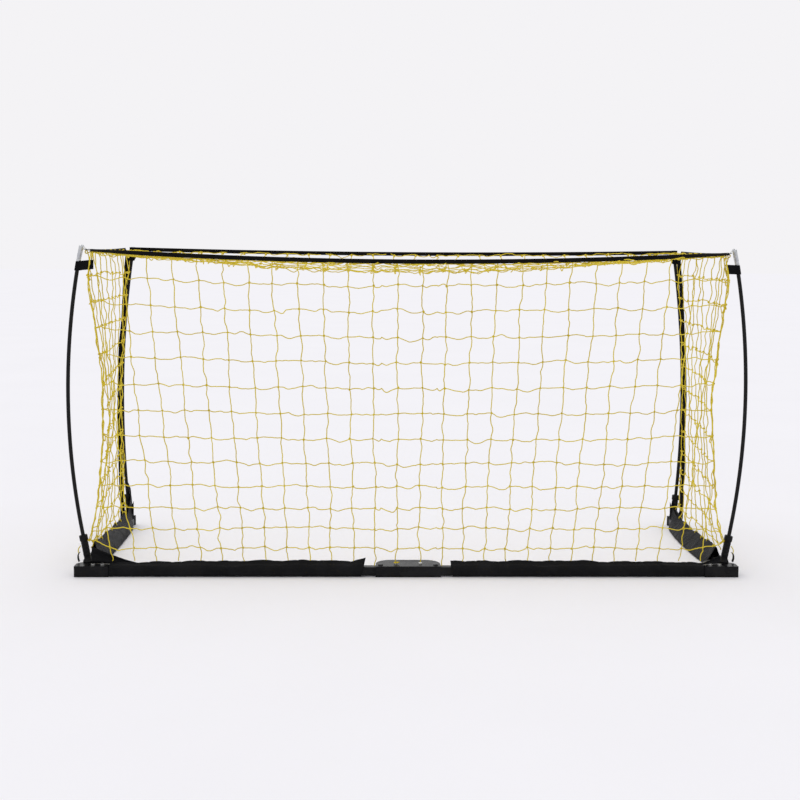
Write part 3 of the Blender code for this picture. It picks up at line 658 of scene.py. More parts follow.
def run_mesh(name, runs):
    """A mesh of plain edges, one chain for each run of points."""
    points = []
    edges = []
    for run in runs:
        first = len(points)
        points += [tuple(p) for p in run]
        edges += [(first + i, first + i + 1) for i in range(len(run) - 1)]
    mesh = bpy.data.meshes.new(name)
    mesh.from_pydata(points, edges, [])
    return mesh


def lace(name, runs, body, radius=CORD_RADIUS, finish=CORD):
    values = {"Cord Radius": radius, "Finish": finish}
    return grow(name, run_mesh(name, runs), LACE_TREE, values, body)


def stitch(name, runs, body, spacing):
    values = {"Spacing": spacing, "Length": spacing * 0.66, "Finish": WEBBING}
    return grow(name, run_mesh(name, runs), STITCH_TREE, values, body)


def sway(place, amount, size=13.0, seed=0.0):
    """An even wander of a point, the same for pieces that meet there."""
    return noise.noise_vector(Vector(place) * size + Vector((seed, seed, seed))) * amount


def steps_from(place, side, steps):
    """Points at steps away from a place, mirrored for the left side."""
    return [place + Vector((side * x, y, z)) for x, y, z in steps]


# Lines that the straps and nets follow

def rear_strap_z(x):
    return REAR_STRAP_END_Z - REAR_STRAP_SAG * (1 - (x / REAR_STRAP_END_X) ** 2)


def front_strap_z(x):
    return FRONT_STRAP_Z - FRONT_STRAP_SAG * (1 - (x / ROOF_EDGE_X) ** 2)


def mouth_webbing_x(z):
    """The line of the webbing beside a front post."""
    share = height_share(z)
    return between(MOUTH_WEBBING_X, share) + MOUTH_WEBBING_BOW * math.sin(math.pi * share)


def height_share(z):
    return clamp((z - NET_FOOT_Z) / (NET_TOP_Z - NET_FOOT_Z))


def net_edge_x(z):
    """The rear net's corner edge: slack at its waist, and pulled out to the post's tie near the top."""
    share = height_share(z)
    if share < WAIST_SHARE:
        return WAIST_X + LOW_FLARE * (WAIST_SHARE - share) ** 2
    return WAIST_X + HIGH_FLARE * (share - WAIST_SHARE) ** 1.1 - 0.3 * max(0.0, share - TIE_SHARE)


def row_z(row, top):
    """The height of a row of knots under a top edge. The last row is the foot."""
    if row > NET_ROWS:
        return NET_FOOT_Z
    drop = ROW_STEP * (row - FIRST_ROW_LIFT) - ROW_CLOSING * max(0.0, row - CLOSING_ROW) ** 2
    return top - (top - LOWEST_KNOT_Z) * max(0.0, drop)


def column_x(number, z):
    """Where a column of the rear net hangs at a height. The outer columns run into the corner edge."""
    x = (number + 0.5) * (MESH_SIZE - NET_GATHER * (1 - height_share(z)) ** 1.1)
    edge = net_edge_x(z)
    crowding = max(0.0, 1 - abs(x - edge) / CROWDING)
    return min(x, edge) - 0.25 * CROWDING * crowding ** 2


def side_column_y(column):
    return between(SIDE_NET_Y, column / SIDE_COLUMNS)


# Knots

def stray(place, normal_axis, across, number=0):
    """A knot's own place, mostly in the plane of its net."""
    moved = sway(place, JITTER, 9.0) + sway(place, 0.003, 31.0, 2.0 * number)
    moved[normal_axis] *= across
    return place + moved


def rear_knot(side, number, row):
    """A knot of the rear net, counted from its middle and from its top."""
    x = column_x(number, row_z(row, NET_TOP_Z - 0.01))
    top = rear_strap_z(x) - 0.005
    if row <= 0:
        return Vector((side * x, 0.0022, top))
    if row > NET_ROWS:
        return rear_net_foot(side, number, x)
    place = stray(Vector((side * x, 0, row_z(row, top))), 1, 0.35, number)
    if number == NET_COLUMNS:
        place.y += 0.030 * math.exp(-((row - 0.62) / 0.40) ** 2)
        collar = Vector((side * EDGE_FOOT[0], EDGE_FOOT[1], EDGE_FOOT[2]))
        place = place.lerp(collar, clamp((row - 10.5) / 1.5))
    return place


def rear_net_foot(side, number, x):
    """The middle columns end at the bracket's bolts, the next at the bare tube, the rest at the sleeve."""
    if number == 0:
        return Vector((side * TIE_BOLT[0], TIE_BOLT[1] - 0.004, 0.040))
    if number == NET_COLUMNS:
        return rear_knot(side, number, NET_ROWS)
    if x < BARE_TUBE_END_X:
        return Vector((side * max(x, BRACKET_END_X + 0.004), 0, 0.031))
    return Vector((side * min(x, REAR_SLEEVE_END_X - 0.006), 0, NET_FOOT_Z))


def roof_knot(side, number, row):
    """A knot of the roof net, counted from its middle and from the rear strap."""
    x = min((number + 0.5) * MESH_SIZE, ROOF_EDGE_X if row else ROOF_REAR_EDGE_X)
    share = row / ROOF_ROWS
    level = between((rear_strap_z(x), front_strap_z(x)), share) - 0.003
    sag = ROOF_SAG * (1 - (x / ROOF_EDGE_X) ** 2) * 4 * share * (1 - share)
    place = Vector((side * x, between(ROOF_Y, share), level - sag))
    return stray(place, 2, 0.25) if 0 < row < ROOF_ROWS else place


def side_knot(side, column, row):
    """A knot of a side net, counted from its rear edge and from its top."""
    share = column / SIDE_COLUMNS
    z = row_z(row, SIDE_NET_TOP_Z)
    y = side_column_y(column) + 0.012 * math.sin(math.pi * height_share(z)) * (1 - share)
    if row > NET_ROWS:
        return Vector((side * CORNER_X, y, side_ridge_z(side, y) - 0.004))
    if row == 0:
        return Vector((side * (CORNER_X - 0.002), y, z))
    x = between((net_edge_x(z) + 0.004, mouth_webbing_x(z) - 0.010), share ** 0.8)
    return stray(Vector((side * x, y, z)), 0, 0.8, column)


def seam_knot(knot, side, row):
    """Where a row crosses the hinge line, between its first two knots."""
    inner = knot(side, 0, row)
    outer = knot(side, 1, row)
    return inner.lerp(outer, (PIVOT_X - abs(inner.x)) / (abs(outer.x) - abs(inner.x)))


# Nets

def net_mesh(name, columns, seams, last_row_tied):
    """A grid of edges for the net tree. A seam is a column where rows are cut, with no cord of its own."""
    rows = len(columns[0])
    mesh = bpy.data.meshes.new(name)
    edges = []
    marks = []
    for i, column in enumerate(columns):
        for j, place in enumerate(column):
            here = i * rows + j
            marks.append(1.0 if i not in seams and 0 < j < rows - 1 else 0.0)
            if i not in seams and j + 1 < rows and (column[j + 1] - place).length > 0.006:
                edges.append((here, here + 1))
            if i + 1 < len(columns) and (j + 1 < rows or last_row_tied):
                if (columns[i + 1][j] - place).length > 0.009:
                    edges.append((here, here + rows))
    mesh.from_pydata([tuple(place) for column in columns for place in column], edges, [])
    mesh.attributes.new("knot", "FLOAT", "POINT").data.foreach_set("value", marks)
    return mesh


def net_part(name, knot, part, rows, last, last_row_tied):
    """The carrier of a net's middle part, between the hinge lines, or of a half from there outwards."""
    def column(side, number):
        return [knot(side, number, row) for row in range(rows + 1)]

    def seam(side):
        return [seam_knot(knot, side, row) for row in range(rows + 1)]

    if part == "centre":
        return net_mesh(name, [seam(-1), column(-1, 0), column(1, 0), seam(1)], {0, 3}, last_row_tied)
    side = SIDES[part]
    columns = [seam(side)] + [column(side, number) for number in range(1, last + 1)]
    return net_mesh(name, columns, {0}, last_row_tied)


def cords_name(net, part):
    return f"{net}_centre_cords" if part == "centre" else f"{net}_cords_{part}"


def net_values(seed, upright=0.026, level=0.040):
    return {"Cord Radius": CORD_RADIUS, "Upright Slack": upright, "Level Slack": level, "Kinks": 0.014,
            "Sag": 0.0035, "Seed": seed, "Finish": CORD}


def make_rear_net():
    for part in PARTS:
        name = cords_name("rear_net", part)
        mesh = net_part(name, rear_knot, part, NET_ROWS + 1, NET_COLUMNS, False)
        grow(name, mesh, NET_TREE, net_values(3), hip_body(part), f"rear_net_{part}")
    bolt = Vector((-TIE_BOLT[0], TIE_BOLT[1], 0.0375))
    loop = []
    for i in range(13):
        angle = 0.63 * i
        step = Vector((0.0050 * math.cos(angle), 0.0050 * math.sin(angle), 0.0006 * math.sin(2.6 * i)))
        loop.append(bolt + step)
    loop.append(bolt + Vector((0.0110, -0.0030, 0.0020)))
    lace("tie_bolt_loop", [loop], "centre_hinge")


def squash_roof(piece):
    """Gives a roof piece a mesh of its own."""
    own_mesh(piece)


def make_roof_net():
    for part, body in PARTS.items():
        name = cords_name("roof_net", part)
        mesh = net_part(name, roof_knot, part, ROOF_ROWS, ROOF_COLUMNS, True)
        squash_roof(grow(name, mesh, NET_TREE, net_values(5), body, f"roof_net_{part}"))


def make_side_nets():
    for side_name, side in SIDES.items():
        name = f"side_net_cords_{side_name}"
        columns = [[side_knot(side, column, row) for row in range(NET_ROWS + 2)]
                   for column in range(SIDE_COLUMNS + 1)]
        mesh = net_mesh(name, columns, set(), False)
        values = net_values(8 + side, 0.030, 0.034)
        grow(name, mesh, NET_TREE, values, f"side_{side_name}", f"side_net_{side_name}")


def corner_row(side, row):
    """A row's cord round the corner, from the rear net's edge to the side net's."""
    start = rear_knot(side, NET_COLUMNS, row)
    end = side_knot(side, 0, row)
    run = []
    for i in range(7):
        belly = math.sin(math.pi * i / 6)
        place = start.lerp(end, i / 6)
        run.append(place + sway(place, 0.016 * belly, 24.0, 2.0) + Vector((0, 0, -0.006 * belly)))
    return run


def edge_strand(side, strand, steps=72):
    """One of the cords that are gathered along the corner edge."""
    run = []
    for i in range(steps + 1):
        place = rear_knot(side, NET_COLUMNS, NET_ROWS * i / steps)
        run.append(place + sway(place, 0.006 if 0 < i < steps else 0.0, 31.0, 5.0 + 4 * strand))
    return run


def slack_loop(side, row):
    """Spare cord that hangs inward from a knot of the corner edge."""
    knot = rear_knot(side, NET_COLUMNS, row)
    wide = 0.007 + 0.002 * (row % 3)
    run = []
    for i in range(10):
        rise = math.sin(0.63 * i)
        inward = 0.4 * wide * (1 - math.cos(0.63 * i))
        place = knot + Vector((-side * inward, 0.004 * rise, -0.9 * wide - 1.3 * wide * rise))
        run.append(place + sway(place, 0.006, 70.0, row))
    return run


def make_corner_nets():
    """The rows that carry the rear net round the corner to the side net, and the cords of its edge."""
    for side_name, side in SIDES.items():
        rows = [corner_row(side, row) for row in range(1, NET_ROWS + 1)]
        lace(f"corner_net_rows_{side_name}", rows, corner_bend(side_name))
        gathered = [edge_strand(side, strand) for strand in range(2)]
        gathered += [slack_loop(side, row) for row in (1, 2, 4, 7)]
        lace(f"corner_net_edge_{side_name}", gathered, HIP[side_name])


# Webbing

def rounded_strip(width, thickness, steps=4):
    """The outline of a strap's section: flat faces with round edges."""
    outline = []
    radius = thickness / 2
    half_flat = width / 2 - radius
    for end in (1, -1):
        for i in range(steps + 1):
            angle = -math.pi / 2 + math.pi * i / steps
            outline.append((end * (half_flat + math.cos(angle) * radius), end * math.sin(angle) * radius))
    return outline


def loft(name, rings, finish, closed_ends=True, smooth=True):
    """Joins rings of points into a skin with a map in metres: X along it and Y round it."""
    mesh = bpy.data.meshes.new(name)
    shape = bmesh.new()
    layer = shape.loops.layers.uv.new("UVMap")
    rows = [[shape.verts.new(p) for p in ring] for ring in rings]
    count = len(rings[0])
    along = [0.0]
    for low, high in zip(rings, rings[1:]):
        along.append(along[-1] + sum((Vector(b) - Vector(a)).length for a, b in zip(low, high)) / count)
    around = [0.0]
    for i in range(count):
        around.append(around[-1] + (Vector(rings[0][(i + 1) % count]) - Vector(rings[0][i])).length)
    for j in range(len(rows) - 1):
        for i in range(count):
            k = (i + 1) % count
            face = shape.faces.new((rows[j][i], rows[j][k], rows[j + 1][k], rows[j + 1][i]))
            face.smooth = smooth
            corners = ((j, i), (j, i + 1), (j + 1, i + 1), (j + 1, i))
            for corner, (a, b) in zip(face.loops, corners):
                corner[layer].uv = (along[a], around[b])
    if closed_ends:
        shape.faces.new(list(reversed(rows[0])))
        shape.faces.new(rows[-1])
        if shape.calc_volume(signed=True) < 0:
            bmesh.ops.reverse_faces(shape, faces=shape.faces)
    shape.to_mesh(mesh)
    shape.free()
    mesh.materials.append(finish)
    return show(name, mesh)


def strap(name, points, width_way, body, node=None, width=WEBBING_WIDTH, thickness=WEBBING_THICKNESS,
          turn=None, finish=WEBBING):
    """Webbing along points. width_way points across the strap, and turn twists it about its own line."""
    outline = rounded_strip(width, thickness)
    rings = []
    for i, point in enumerate(points):
        before = points[max(0, i - 1)]
        after = points[min(len(points) - 1, i + 1)]
        heading = (after - before).normalized()
        across = Vector(width_way)
        across = (across - heading * across.dot(heading)).normalized()
        if turn:
            across = Matrix.Rotation(turn(point), 3, heading) @ across
        normal = heading.cross(across)
        rings.append([point + across * a + normal * b for a, b in outline])
    return dress(loft(name, rings, finish), body, node)


def restless(amount):
    """A strap's slight turning to and fro."""
    return lambda point: amount * noise.noise(point * 7.0)


def rear_strap_turn(point):
    """The rear strap stands on edge at its middle and lies over towards its ends."""
    near_end = clamp((abs(point.x) - 0.68) / 0.24)
    return restless(0.15)(point) - math.copysign(1.0, point.x) * 1.05 * near_end ** 1.3


def even_points(count, low, high, at):
    return [at(low + (high - low) * i / count) for i in range(count + 1)]


def strap_points(part, end_x, at, middle_steps=12, side_steps=64):
    """Even points along a strap's middle part, or along a half from the hinge line to its end."""
    if part == "centre":
        return even_points(middle_steps, -PIVOT_X, PIVOT_X, at)
    side = SIDES[part]
    return even_points(side_steps, side * PIVOT_X, side * end_x, at)


def tie_hitch(place):
    """A small hitch of cord under the edge of a strap."""
    return [place + Vector((0.0030 * math.sin(1.9 * i), 0.0022 * math.cos(1.9 * i), 0.0016 - 0.0006 * i))
            for i in range(9)]


def tie_loop(centre, tall, wide, axis, steps=10, wraps=2):
    """A cord wound round a strap that runs along an axis."""
    run = []
    for i in range(steps * wraps + 1):
        angle = math.tau * i / steps
        along = 0.0028 * (i / (steps * wraps) - 0.5)
        a = wide * math.sin(angle)
        b = tall * math.cos(angle)
        step = {"y": (a, along, b), "z": (a, b, along)}[axis]
        run.append(centre + Vector(step))
    return run


def front_strap_ties(part):
    """A hitch under the front strap at each column of the roof net."""
    columns = (-0.5, 0.5)
    if part in SIDES:
        columns = [SIDES[part] * (number + 0.5) for number in range(1, ROOF_COLUMNS)]
    hitches = []
    for column in columns:
        x = column * MESH_SIZE
        hitches.append(tie_hitch(Vector((x, FRONT_STRAP_Y - 0.002, front_strap_z(x) - WEBBING_WIDTH / 2))))
    return hitches


def make_top_straps():
    up = (0, 0, 1)
    for part, body in PARTS.items():
        points = strap_points(part, REAR_STRAP_CUT_X.get(part), lambda x: Vector((x, 0, rear_strap_z(x))))
        strap(f"rear_top_webbing_{part}", points, up, hip_body(part), f"rear_strap_{part}",
              turn=rear_strap_turn)
        points = strap_points(part, ROOF_EDGE_X, lambda x: Vector((x, FRONT_STRAP_Y, front_strap_z(x))))
        band = strap(f"front_top_webbing_{part}", points, up, body, f"front_strap_{part}",
                     turn=restless(0.15))
        squash_roof(band)
        squash_roof(lace(f"front_strap_ties_{part}", front_strap_ties(part), body))


def make_rear_strap_lacing():
    """Two cords that gather the rear and roof nets under and behind the rear strap."""
    for part in PARTS:
        runs = []
        for seed, drop, behind in ((0.0, 0.0055, 0.0040), (3.0, 0.0085, 0.0080)):

            def under_strap(x):
                place = Vector((x, behind, rear_strap_z(x) - drop))
                moved = sway(place, 0.006, 36.0, seed)
                return place + Vector((moved.x, abs(moved.y), moved.z))

            runs.append(strap_points(part, REAR_LACING_END_X, under_strap, 11, 54))
        lace(f"rear_strap_lacing_{part}", runs, hip_body(part))


def make_side_strap(side_name):
    side = SIDES[side_name]

    def along_side(share):
        z = SIDE_STRAP_Z - 0.004 * math.sin(math.pi * share)
        return Vector((side * CORNER_X, between(SIDE_STRAP_Y, share), z))

    def side_turn(point):
        share = (point.y - SIDE_STRAP_Y[0]) / (SIDE_STRAP_Y[1] - SIDE_STRAP_Y[0])
        return side * (0.35 + max(0.0, 1 - share) ** 1.2)

    strap(f"side_top_webbing_{side_name}", even_points(40, 0.0, 1.0, along_side), (0, 0, 1),
          f"side_{side_name}", f"side_strap_{side_name}", width=SIDE_STRAP_WIDTH, turn=side_turn)


def make_mouth_webbing(side_name):
    """The webbing beside a front post, and the wider tab at its top."""
    side = SIDES[side_name]
    body = f"side_{side_name}"

    def beside_post(z):
        place = Vector((side * mouth_webbing_x(z), MOUTH_WEBBING_Y, z))
        moved = sway(place, 0.004, 8.0, 4.0)
        return place + Vector((moved.x, 0.3 * moved.y, 0))

    strap(f"mouth_edge_webbing_{side_name}", even_points(80, *MOUTH_WEBBING_Z, beside_post),
          (1, 0.25, 0), body, f"mouth_webbing_{side_name}", width=MOUTH_WEBBING_WIDTH, turn=restless(0.5))
    section = ((-1, -1), (-0.5, -1), (0, -1), (0.5, -1), (1, -1), (1, 1), (0, 1), (-1, 1))
    levels = ((0.962, 0.0205), (0.956, 0.0205), (0.948, 0.0175), (0.9375, 0.0120), (0.9365, 0.0110))
    rings = [[Vector((side * MOUTH_TAB[0] + a * wide, MOUTH_TAB[1] + b * 0.0011, z)) for a, b in section]
             for z, wide in levels]
    dress(loft(f"mouth_top_tab_{side_name}", rings, WEBBING, smooth=False), body)


def mouth_lacing(side, count=64, low=0.150, high=0.945):
    """The cord that laces the mouth webbing to its post, to and fro."""
    run = []
    for i in range(count + 1):
        z = low + (high - low) * i / count
        x, y = (mouth_webbing_x(z) - 0.006, 0.6245) if i % 2 else (post_line_x(z) + 0.003, 0.6275)
        place = Vector((side * x, y, z))
        run.append(place + sway(place, 0.003, 22.0, 6.0))
    return run


def make_side_ties(side_name):
    """The mouth webbing's lacing, and the ties of the side net to it and to the side strap."""
    side = SIDES[side_name]
    ties = [mouth_lacing(side)]
    for row in range(1, NET_ROWS + 1):
        z = row_z(row, SIDE_NET_TOP_Z)
        centre = Vector((side * (mouth_webbing_x(z) - 0.006), 0.6205, z))
        ties.append(tie_loop(centre, 0.0080, 0.0040, "z"))
    for column in range(SIDE_COLUMNS + 1):
        centre = Vector((side * (CORNER_X + 0.001), side_column_y(column), 0.9665))
        ties.append(tie_loop(centre, 0.0045, 0.0035, "y"))
    lace(f"side_ties_{side_name}", ties, f"side_{side_name}")


# Sleeves

def resample(points, count=56):
    """Even points round a closed outline."""
    lengths = [0.0]
    closed = points + points[:1]
    for a, b in zip(closed, closed[1:]):
        lengths.append(lengths[-1] + math.dist(a, b))
    result = []
    k = 0
    for i in range(count):
        target = lengths[-1] * i / count
        while lengths[k + 1] < target:
            k += 1
        share = (target - lengths[k]) / (lengths[k + 1] - lengths[k])
        a, b = closed[k], closed[k + 1]
        result.append((a[0] + (b[0] - a[0]) * share, a[1] + (b[1] - a[1]) * share))
    return result


def rear_outline(ridge_z):
    """The rear sleeve's section: close under and beside the bar, and drawn up to a laced ridge."""
    right = [(0.0075, 0.0012), (0.0142, 0.0022), (0.0162, 0.0062), (0.0167, 0.0165), (0.0163, 0.0268)]
    right += [(0.0128, 0.0345), (0.0066, 0.0345 + 0.35 * (ridge_z - 0.0345)), (0.0030, ridge_z - 0.0035)]
    right += [(0.0018, ridge_z)]
    return resample(right + [(-a, z) for a, z in reversed(right)])


def side_ridge_z(side, y):
    """The upper edge of a side sleeve: high by the rear corner, lower midway, and up to the front post."""
    near = max(0.0, 0.40 - y)
    far = max(0.0, y - 0.46)
    low = 0.062 if side < 0 else 0.052
    return low + 0.05 * near ** 1.2 + 0.0025 * math.sin(47 * y + 5 * side) + 0.9 * far ** 2


def side_outline(side, y):
    """The side sleeve's section, pulled out over the ground on its inner side, across and up, in metres."""
    ridge = side_ridge_z(side, y)
    ends = math.sin(math.pi * clamp((y - 0.07) / 0.56)) ** 0.5
    foot = 0.017 + (0.024 if side > 0 else 0.012) * ends
    right = [(0.004, 0.0012), (foot - 0.004, 0.0014), (foot, 0.0030), (foot - 0.003, 0.0090)]
    right += [(0.5 * (foot + 0.0165), 0.022), (0.0150, 0.0345), (0.0068, 0.5 * (0.036 + ridge))]
    right += [(0.0032, ridge - 0.0035), (0.0018, ridge)]
    left = [(-0.0018, ridge), (-0.0040, ridge - 0.0060), (-0.0105, 0.0350), (-0.0163, 0.0268)]
    left += [(-0.0167, 0.0165), (-0.0162, 0.0062), (-0.0142, 0.0022), (-0.0070, 0.0012)]
    return resample(right + left)


def fold_depth(distance, height, seed):
    """Slanting creases: sharp valleys between broad soft bellies."""
    slanted = distance + 0.9 * (height - TUBE_Z)
    broad = noise.noise(Vector((slanted * 13, height * 14, seed)))
    sharp = 1 - abs(noise.noise(Vector((slanted * 30, height * 24, seed + 7)))) * 2
    fine = noise.noise(Vector((distance * 90, height * 60, seed + 13)))
    return 0.0028 * broad - 0.0022 * max(0.0, sharp) ** 4 + 0.0004 * fine


def creased(outline, distance, inner_way, seed):
    """A section's points with their creases, which sink in little beside the bar and close to the ground."""
    moved = []
    for a, z in outline:
        depth = fold_depth(distance, z, seed)
        if a * inner_way > 0 and z < 0.034 and abs(a) < 0.02:
            depth = min(depth, 0.0004)
        ground = 0.0008 + 0.0006 * noise.noise(Vector((distance * 30, a * 60, seed)))
        push = depth * (1 if z > 0.006 else 0.25)
        across = a + math.copysign(push, a) * min(1.0, abs(a) / 0.006)
        height = z + (push * 0.8 if z > 0.033 else 0)
        if z > 0.036:
            across += 0.0022 * noise.noise(Vector((distance * 21, 3.3, seed)))
        moved.append((across, max(ground, height)))
    return moved


def face_outwards(skin, centre, across_way):
    """Turns an open skin's faces to the outside, judged by its outermost face on one side."""
    shape = bmesh.new()
    shape.from_mesh(skin.data)
    bmesh.ops.recalc_face_normals(shape, faces=shape.faces)
    side_face = max(shape.faces, key=lambda face: (face.calc_center_median() - centre).dot(across_way))
    if side_face.normal.dot(across_way) < 0:
        bmesh.ops.reverse_faces(shape, faces=shape.faces)
    shape.to_mesh(skin.data)
    shape.free()


def sleeve(name, ends, place, inner_way, body, node, seed, section, slant=0.0):
    """A nylon sleeve along its bar. place puts a section's point there, and slant cuts its first end."""
    start, end = ends
    count = round((end - start) / 0.005)
    rings = []
    for i in range(count + 1):
        distance = start + (end - start) * i / count
        outline = section(distance)
        cut = slant / 0.048 * max(0.0, 1 - (distance - start) / 0.06)
        moved = creased(outline, distance, inner_way, seed)
        rings.append([place(distance + cut * z, *point) for (a, z), point in zip(outline, moved)])
    skin = loft(name, rings, NYLON, closed_ends=False)
    across_way = Vector(place(start, 1, TUBE_Z)) - Vector(place(start, 0, TUBE_Z))
    face_outwards(skin, place((start + end) / 2, 0, TUBE_Z), across_way)
    wall = skin.modifiers.new("wall", "SOLIDIFY")
    wall.thickness = SLEEVE_WALL
    wall.offset = -1
    apply_modifiers(skin)
    dress(skin, body, node)
    around = sum(math.dist(a, b) for a, b in zip(outline, outline[1:] + outline[:1]))
    return skin


def make_rear_sleeve(side_name):
    side = SIDES[side_name]
    start = REAR_SLEEVE_START_X[side_name]

    def place(distance, across, z):
        return Vector((side * distance, -across, z))

    def section(distance):
        share = (distance - start) / (REAR_SLEEVE_END_X - start)
        wave = 0.0030 * noise.noise(Vector((distance * 9, 2.0 + side, 0)))
        wave += 0.0012 * math.sin(61 * distance)
        flap = 0.008 * max(0.0, 1 - (distance - start) / 0.035) if side < 0 else 0.0
        return rear_outline(0.0470 - 0.006 * max(0.0, share - 0.55) / 0.45 + wave + flap)

    sleeve(f"rear_bar_sleeve_{side_name}", (start, REAR_SLEEVE_END_X), place, -1, HIP[side_name],
           f"rear_sleeve_{side_name}", 3.0 + side, section, REAR_SLEEVE_SLANT[side_name])


def make_side_sleeve(side_name):
    """The side sleeve and its ties to the side net."""
    side = SIDES[side_name]

    def place(distance, across, z):
        return Vector((side * (CORNER_X - across), distance, z))

    def section(distance):
        return side_outline(side, distance)

    skin = sleeve(f"side_bar_sleeve_{side_name}", SIDE_SLEEVE_Y, place, 1, f"side_{side_name}",
                  f"side_sleeve_{side_name}", 9.0 + side, section)
    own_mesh(skin)
    ties = []
    for y in (side_column_y(column) for column in range(SIDE_COLUMNS + 1)):
        if SIDE_SLEEVE_Y[0] < y < SIDE_SLEEVE_Y[1]:
            centre = Vector((side * CORNER_X, y, side_ridge_z(side, y) - 0.003))
            ties.append(tie_loop(centre, 0.0055, 0.0042, "y", wraps=1))
    lace(f"side_sleeve_ties_{side_name}", ties, f"side_{side_name}")


# Posts

def post_axis_x(row, height):
    return CORNER_X + math.tan(POST_LEAN[row]) * (height - BRACKET_HEIGHT)


def post_points(row, steps=56):
    """The post's centre line with its lean at each point, as the model has it, in finer steps."""
    foot_lean = POST_LEAN[row]
    foot = Vector((post_axis_x(row, POST_FOOT_Z), 0, POST_FOOT_Z))
    start = Vector((post_axis_x(row, SOCKET_TOP_Z), 0, SOCKET_TOP_Z))
    chord = Vector((POST_TOP_X[row], 0, POST_TOP_Z)) - start
    turn = 2 * (foot_lean - math.atan2(chord.x, chord.z))
    radius = chord.length / 2 / math.sin(turn / 2)
    centre = start - radius * Vector((math.cos(foot_lean), 0, -math.sin(foot_lean)))
    points = [(foot, foot_lean)]
    for i in range(steps + 1):
        lean = foot_lean - turn * i / steps
        points.append((centre + radius * Vector((math.cos(lean), 0, -math.sin(lean))), lean))
    return points


def post_line_x(z):
    """The front post's line at a height."""
    line = [centre for centre, lean in post_points("front")]
    for low, high in zip(line, line[1:]):
        if low.z <= z <= high.z:
            return low.x + (high.x - low.x) * (z - low.z) / (high.z - low.z)
    return line[-1].x


def ring_at(centre, radius, lean, side, count=24):
    """A circle round a leaning axis, for one side."""
    points = []
    for i in range(count):
        a = math.cos(math.tau * i / count) * radius
        b = math.sin(math.tau * i / count) * radius
        x = centre.x + a * math.cos(lean)
        points.append(Vector((side * x, centre.y + b, centre.z - a * math.sin(lean))))
    return points


def ferrule_profile():
    """The ferrule's outline as (depth below the tip, radius), with two rolled grooves and a hollow end."""
    skirt = POST_RADIUS + 0.0003
    groove_radius = FERRULE_RADIUS - 0.0006
    profile = [(FERRULE_LENGTH, skirt), (FERRULE_LENGTH, FERRULE_RADIUS - 0.0003)]
    profile += [(FERRULE_LENGTH - 0.0005, FERRULE_RADIUS)]
    for groove in (0.040, 0.036):
        profile += [(groove + 0.0012, FERRULE_RADIUS), (groove + 0.0006, groove_radius)]
        profile += [(groove - 0.0006, groove_radius), (groove - 0.0012, FERRULE_RADIUS)]
    profile += [(0.0022, FERRULE_RADIUS), (0.0008, FERRULE_RADIUS * 0.92), (0.0, FERRULE_RADIUS * 0.7)]
    return profile + [(0.0, 0.0024), (0.001, 0.0018)]


def make_posts():
    for row, y in (("rear", CORNER_Y), ("front", FRONT_POST_Y)):
        line = [(centre + Vector((0, y, 0)), lean) for centre, lean in post_points(row)]
        foot, foot_lean = line[0]
        tip, tip_lean = line[-1]
        up = Vector((math.sin(tip_lean), 0, math.cos(tip_lean)))
        for side_name, side in SIDES.items():
            body = f"{row}_post_{side_name}"
            rings = [ring_at(foot, POST_RADIUS * 0.8, foot_lean, side)]
            rings.append(ring_at(foot + Vector((0, 0, 0.0008)), POST_RADIUS, foot_lean, side))
            rings += [ring_at(centre, POST_RADIUS, lean, side) for centre, lean in line[1:-1]]
            rings.append(ring_at(tip - up * 0.0015, POST_RADIUS, tip_lean, side))
            rod = loft(f"{row}_rod_{side_name}", rings, ROD)
            dress(rod, body, f"{row}_pole_{side_name}")
            rings = [ring_at(tip - up * depth, radius, tip_lean, side) for depth, radius in ferrule_profile()]
            dress(loft(f"{row}_tip_{side_name}", rings, FERRULE), body, f"{row}_ferrule_{side_name}")


def make_tip_hooks():
    """A small bent wire hook in each rear tip, and the white cord from it to the rear strap's end."""
    tip = post_points("rear")[-1][0]
    for side_name, side in SIDES.items():
        top = Vector((side * tip.x, CORNER_Y, tip.z))
        hook = steps_from(top, side, ((0, 0, -0.006), (0, -0.001, 0.0005), (-0.003, -0.003, 0.0020),
                                      (-0.008, -0.006, -0.0005), (-0.010, -0.008, -0.0060)))
        lace(f"rear_tip_hook_{side_name}", [hook], f"rear_post_{side_name}", 0.0010, FERRULE)
        strap_end = Vector((side * (REAR_STRAP_END_X - 0.006), 0.0, REAR_STRAP_END_Z))
        bend = top + Vector((-0.0085 * side, -0.0070, -0.0030))
        runs = []
        for offset in (-0.0018, 0.0018):
            middle = bend.lerp(strap_end, 0.5) + Vector((0, offset, -0.002))
            runs.append([bend + Vector((0, offset * 0.6, 0)), middle,
                         strap_end + Vector((0, offset * 0.7, 0.001))])
        lace(f"rear_tip_cord_{side_name}", runs, HIP[side_name], 0.0007, WHITE_CORD)


